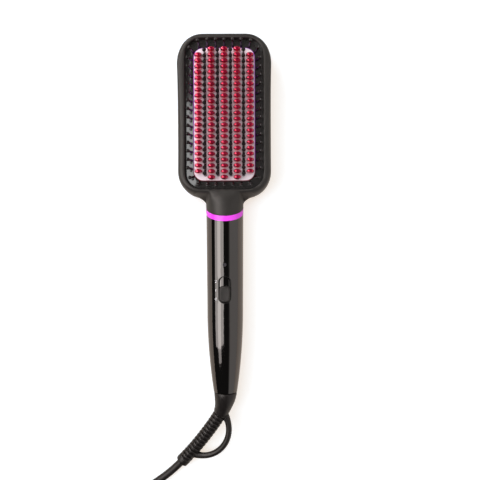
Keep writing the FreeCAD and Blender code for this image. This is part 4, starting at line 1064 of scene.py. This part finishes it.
class Route:
    """Where the boot's tail, the cord and its coil run."""

    # The boot leaves the handle, bends and goes on in its ribbed tail, which bows from one heading to another
    BOOT_START = -147.9 * MM
    BEND_END = Vector((-4.95, -167.2, 12.6)) * MM
    BEND_LEADS = (6.0 * MM, 4.5 * MM)
    BEND_STEPS = 20
    TAIL = 53.0 * MM
    TAIL_STEPS = 40
    HEADINGS = (237.4, 226.1)

    # The lead falls to the floor in its first run
    FLOOR_GAP = 1.05 * MM
    LEAD_DROP = 0.35 * MM
    FIRST_RUN = 1.75

    # The coil has two layers, the lower one wound inwards and the upper one outwards
    COIL_INNER = 25.8 * MM
    TURN_GAP = 0.7 * MM
    LAYER_GAP = 0.6 * MM
    LAYER_TURNS = 3.4

    # Lead to the coil and end to the plug: headings, runs in cord diameters, and the lead's points
    LEAD_HEADINGS = (216.0, 211.0)
    LEAD_RUN = 2.8
    LEAD_POINTS = 4
    END_HEADINGS = (28.0, 60.0)
    END_RUN = 3.6
    PLUG_HEIGHT = 8.0 * MM
    TURN_POINTS = 20
    CLIMB_TURNS = 0.5

    def __init__(self, sizes):
        self.thick = sizes.cord_diameter
        self.boot_start = Vector((0, self.BOOT_START, sizes.axis_height))
        self.level = self.thick / 2 + self.FLOOR_GAP
        self.first_run = self.FIRST_RUN * self.thick
        fall = self.BEND_END.z - self.level - self.LEAD_DROP
        self.slope = fall / (self.TAIL + self.first_run)
        self.pitch = self.thick + self.TURN_GAP
        self.layer = self.thick + self.LAYER_GAP

    def falling(self, degrees):
        """Direction at a level heading that falls with the tail's slope."""
        return heading(degrees) * math.sqrt(1 - self.slope ** 2) - UP * self.slope

    def tail_heading(self, share):
        return self.HEADINGS[0] + share * (self.HEADINGS[1] - self.HEADINGS[0])

    def tail(self, share):
        """Point on the tail's bowed middle line, from the bend (0) to the cord (1)."""
        bow = math.radians(self.tail_heading(share) - self.HEADINGS[0])
        stretch = self.TAIL * share * (math.sin(bow / 2) / (bow / 2) if bow else 1)
        return self.BEND_END + self.falling(self.tail_heading(share / 2)) * stretch

    def boot(self):
        """Points from the handle's end through the bend to the cord, close together."""
        before, after = self.BEND_LEADS
        guides = [self.boot_start, self.boot_start - Vector((0, before, 0)),
                  self.BEND_END - self.falling(self.HEADINGS[0]) * after, self.BEND_END]
        points = [cubic(guides, step / self.BEND_STEPS) for step in range(self.BEND_STEPS)]
        return points + [self.tail(step / self.TAIL_STEPS) for step in range(self.TAIL_STEPS + 1)]

    def coil_radius(self, turn):
        return self.COIL_INNER + self.pitch * abs(turn - self.LAYER_TURNS)

    def coil_pull(self, turn):
        """Degrees by which the winding's radius change turns the cord off the circle."""
        return math.degrees(math.atan(self.pitch / (2 * math.pi * self.coil_radius(turn))))

    def cord(self):
        """Boot end, two gentle bends, a coil of two layers and the run to the plug."""
        start = self.tail(1)
        first = start + self.falling(self.HEADINGS[1]) * self.first_run
        second = first + heading(self.LEAD_HEADINGS[0]) * (self.LEAD_RUN * self.thick)
        second.z = self.level
        onward = heading(self.LEAD_HEADINGS[1])
        coil_start = second + onward * (self.LEAD_RUN * self.thick)
        self.start_angle = self.LEAD_HEADINGS[1] - 90 - self.coil_pull(0)
        self.centre = coil_start + onward * self.thick - heading(self.start_angle) * self.coil_radius(0)
        self.turns = math.floor(2 * self.LAYER_TURNS) + (SOUTH - self.start_angle) / 360
        last = self.centre + heading(SOUTH) * self.coil_radius(self.turns)
        last.z = self.level + self.layer
        leaving = heading(360 - self.coil_pull(self.turns))
        run = self.END_RUN * self.thick
        coil_end = last + leaving * self.thick
        end_bend = coil_end + leaving * run
        lift = end_bend + heading(self.END_HEADINGS[0]) * run
        lift.z = self.PLUG_HEIGHT
        plug = lift + heading(self.END_HEADINGS[1]) * run
        return [start, first, second, coil_start, *self.coil(), coil_end, end_bend, lift, plug]

    def coil(self):
        """Turns inwards on the floor, then outwards on top of them."""
        outside_arc = 1 / math.cos(math.pi / self.TURN_POINTS)
        steps = round(self.turns * self.TURN_POINTS)
        places = []
        for index in range(steps + 1):
            turn = self.turns * index / steps
            climb = min(max((turn - self.LAYER_TURNS) / self.CLIMB_TURNS + 0.5, 0), 1)
            way = heading(self.start_angle + 360 * turn)
            place = self.centre + way * self.coil_radius(turn) * outside_arc
            place.z = self.level + self.layer * (1 - math.cos(math.pi * climb)) / 2
            places.append(place)
        return places


# Tie: where it goes round the coil, its gaps to the strands and the floor, and its band
TIE_ANGLE = 215.0
TIE_INNER_GAP = 1.3 * MM
TIE_OUTER_GAP = 0.9 * MM
TIE_TOP_GAP = 0.7 * MM
TIE_FOOT = 0.5 * MM
TIE_CORNER = 2.6 * MM
TIE_WIDTH = 11.0 * MM
TIE_WALL = 0.9 * MM


def coil_tie(route, material):
    """Flat band round all strands of the coil at one place."""
    first = (TIE_ANGLE - route.start_angle) / 360
    radii = [route.coil_radius(first + index) for index in range(int(route.turns - first) + 1)]
    half = route.thick / 2
    low = min(radii) - half - TIE_INNER_GAP
    high = max(radii) + half + TIE_OUTER_GAP
    top = route.level + route.layer + half + TIE_TOP_GAP
    item = rounded_plate((0, 0, 0), high - low, top - TIE_FOOT, TIE_CORNER, segments=6)
    bpy.ops.mesh.delete(type="ONLY_FACE")
    bpy.ops.mesh.select_all(action="SELECT")
    extrude(TIE_WIDTH)
    bpy.ops.mesh.select_all(action="SELECT")
    bpy.ops.transform.translate(value=(0, 0, -TIE_WIDTH / 2))
    leave_edit()
    wall = item.modifiers.new("wall", "SOLIDIFY")
    wall.thickness = TIE_WALL
    wall.offset = 0.0
    bpy.ops.object.modifier_apply(modifier=wall.name)
    smooth(item, 40)
    stand = Matrix.Rotation(math.radians(90), 4, "X")
    outward = Matrix.Translation(((low + high) / 2, 0, (top + TIE_FOOT) / 2))
    turn = Matrix.Rotation(math.radians(TIE_ANGLE), 4, "Z")
    item.matrix_world = Matrix.Translation((route.centre.x, route.centre.y, 0)) @ turn @ outward @ stand
    return settle(item, "coil_tie", material, "brush", ["cord_tie"])


class BRUSH_OT_cord(bpy.types.Operator):
    """Mains cord from the boot through its coil to the plug, and the tie round the coil"""

    bl_idname = "brush.cord"
    bl_label = "Cord"

    def execute(self, context):
        colours = context.scene.brush_colours
        route = Route(context.scene.brush_sizes)
        thick = route.thick
        points = route.cord()
        strap = coil_tie(route, soft_rubber("tie_strap", colours.strap, 0.6, 1800.0))
        line = smooth_line("cord_line", points, resolution=6)
        trace = bpy.data.meshes.new_from_object(line)
        cord = tube(line, thick / 2, rounding=4)
        cord.name = "mains_cord"
        cord.data.materials.clear()
        cord.data.materials.append(soft_rubber("cord_jacket", colours.rubber, 0.46, 2600.0))
        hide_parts("power_cord", "power_cord_coil", "power_cord_end")
        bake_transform(cord)
        return {"FINISHED"}


BOOT_SIDES = 40

# Cone: shares of its length and radii in millimetres
CONE = ((0, 8.7), (0.015, 9.25), (0.04, 9.4), (0.2, 8.9), (0.35, 8.3), (0.5, 7.55), (0.65, 6.9),
        (0.8, 6.35), (0.92, 6.05), (0.98, 5.7))

# Ribs: their share of the tail, their crown's radius and its fall along the tail, and one rib's
# shares of its pitch and depths; lengths in millimetres
RIBS = 14
RIBBED = 0.89
CROWN = 5.55
CROWN_FALL = 0.1
RIB = ((0.02, 1.35), (0.13, 1.3), (0.19, 0.4), (0.3, 0.06), (0.56, 0.0), (0.82, 0.06), (0.93, 0.4),
       (0.99, 1.3))

# Collar at the cord: shares of the tail's length and radii in millimetres
COLLAR = ((0.9, 5.3), (0.915, 5.45), (0.98, 5.45), (0.995, 5.2), (1.0, 4.6))

# Loop: its circle beside the tail, its strand, and the roots that thicken towards both ends
LOOP_ALONG = 19.0 * MM
LOOP_ASIDE = 4.4 * MM
LOOP_RADIUS = 23.1 * MM
LOOP_TILT = 0.149
LOOP_STRAND = 2.5 * MM
LOOP_FIRST, LOOP_STEP, LOOP_POINTS = 20, 7, 21
ROOT_FROM = 52
ROOT_SPAN = 18
ROOT_SWELL = 0.3


def ribbed_boot(route, material):
    """Turned straight, then laid along its bent middle line."""
    points = route.boot()
    ways = [0.0]
    for before, after in zip(points, points[1:]):
        ways.append(ways[-1] + (after - before).length)
    cone = ways[route.BEND_STEPS]
    tail = ways[-1] - cone
    rings = [(share * cone, radius * MM) for share, radius in CONE]
    pitch = tail * RIBBED / RIBS
    for rib in range(RIBS):
        crown = CROWN - CROWN_FALL * rib / (RIBS - 1)
        rings += [(cone + (rib + share) * pitch, (crown - sink) * MM) for share, sink in RIB]
    rings += [(cone + tail * share, radius * MM) for share, radius in COLLAR]
    item = turned("boot", BOOT_SIDES, rings)
    lay_along(item.data, points, ways)
    smooth(item, 60)
    settle(item, "ribbed_boot", material, "cord_swivel", ["cord_boot"])


def lay_along(mesh, points, ways):
    """Carry a straight upright mesh over to a bent middle line."""
    for vertex in mesh.vertices:
        along = min(max(vertex.co.z, 0.0), ways[-1])
        index = 0
        while index < len(ways) - 2 and ways[index + 1] < along:
            index += 1
        share = (along - ways[index]) / (ways[index + 1] - ways[index])
        centre = points[index].lerp(points[index + 1], share)
        ahead_here = points[index + 1] - points[max(index - 1, 0)]
        ahead_next = points[min(index + 2, len(points) - 1)] - points[index]
        ahead = ahead_here.normalized().lerp(ahead_next.normalized(), share).normalized()
        side = ahead.cross(UP).normalized()
        vertex.co = centre + side * vertex.co.x + side.cross(ahead) * vertex.co.y


def hanging_loop(route, material):
    """Bowed strand with thicker roots where it leaves the boot and the tail."""
    middle = sum(route.HEADINGS) / 2
    along = route.falling(middle)
    way = heading(middle + 90) + UP * LOOP_TILT
    way = (way - along * way.dot(along)).normalized()
    centre = route.BEND_END + along * LOOP_ALONG - way * LOOP_ASIDE
    angles = [LOOP_FIRST + LOOP_STEP * step for step in range(LOOP_POINTS)]
    places = []
    for angle in angles:
        bow = math.radians(angle)
        places.append(centre + (along * math.cos(bow) + way * math.sin(bow)) * LOOP_RADIUS)
    line = smooth_line("loop", places, resolution=6)
    for point, angle in zip(line.data.splines[0].points, angles):
        past = max(0.0, abs(angle - 90) - ROOT_FROM)
        point.radius = 1.0 + ROOT_SWELL * past / ROOT_SPAN
    item = tube(line, LOOP_STRAND, rounding=5)
    settle(item, "rubber_loop", material, "cord_swivel", ["hanging_loop"])


class BRUSH_OT_boot(bpy.types.Operator):
    """Boot with its ribbed tail, hanging loop and the finish of the plug"""

    bl_idname = "brush.boot"
    bl_label = "Boot"

    def execute(self, context):
        rubber = soft_rubber("soft_rubber", context.scene.brush_colours.rubber, 0.4, 2200.0)
        route = Route(context.scene.brush_sizes)
        ribbed_boot(route, rubber)
        hanging_loop(route, rubber)
        dress("plug_body", rubber)
        return {"FINISHED"}


class BRUSH_PT_pieces(bpy.types.Panel):
    """Builds each group of the brush"""

    bl_idname = "BRUSH_PT_pieces"
    bl_label = "Hair Straightening Brush"
    bl_space_type = "VIEW_3D"
    bl_region_type = "UI"
    bl_category = "Brush"

    def draw(self, context):
        column = self.layout.column()
        for operator in OPERATORS:
            column.operator(operator.bl_idname)
        for group in (context.scene.brush_sizes, context.scene.brush_colours):
            for name in group.bl_rna.properties.keys():
                if name not in ("rna_type", "name"):
                    column.prop(group, name)


OPERATORS = (BRUSH_OT_stage, BRUSH_OT_cord, BRUSH_OT_head, BRUSH_OT_shells, BRUSH_OT_insides,
             BRUSH_OT_bristle_field, BRUSH_OT_switch, BRUSH_OT_boot)
CLASSES = (BrushSizes, BrushColours, *OPERATORS, BRUSH_PT_pieces)


def register():
    for item in CLASSES:
        bpy.utils.register_class(item)
    bpy.types.Scene.brush_sizes = PointerProperty(type=BrushSizes)
    bpy.types.Scene.brush_colours = PointerProperty(type=BrushColours)


def unregister():
    del bpy.types.Scene.brush_colours
    del bpy.types.Scene.brush_sizes
    for item in reversed(CLASSES):
        bpy.utils.unregister_class(item)


def main():
    register()
    bpy.ops.brush.stage()
    bpy.ops.brush.cord()
    bpy.ops.brush.head()
    bpy.ops.brush.shells()
    bpy.ops.brush.insides()
    bpy.ops.brush.bristle_field()
    bpy.ops.brush.switch()
    bpy.ops.brush.boot()


if __name__ == "__main__":
    main()
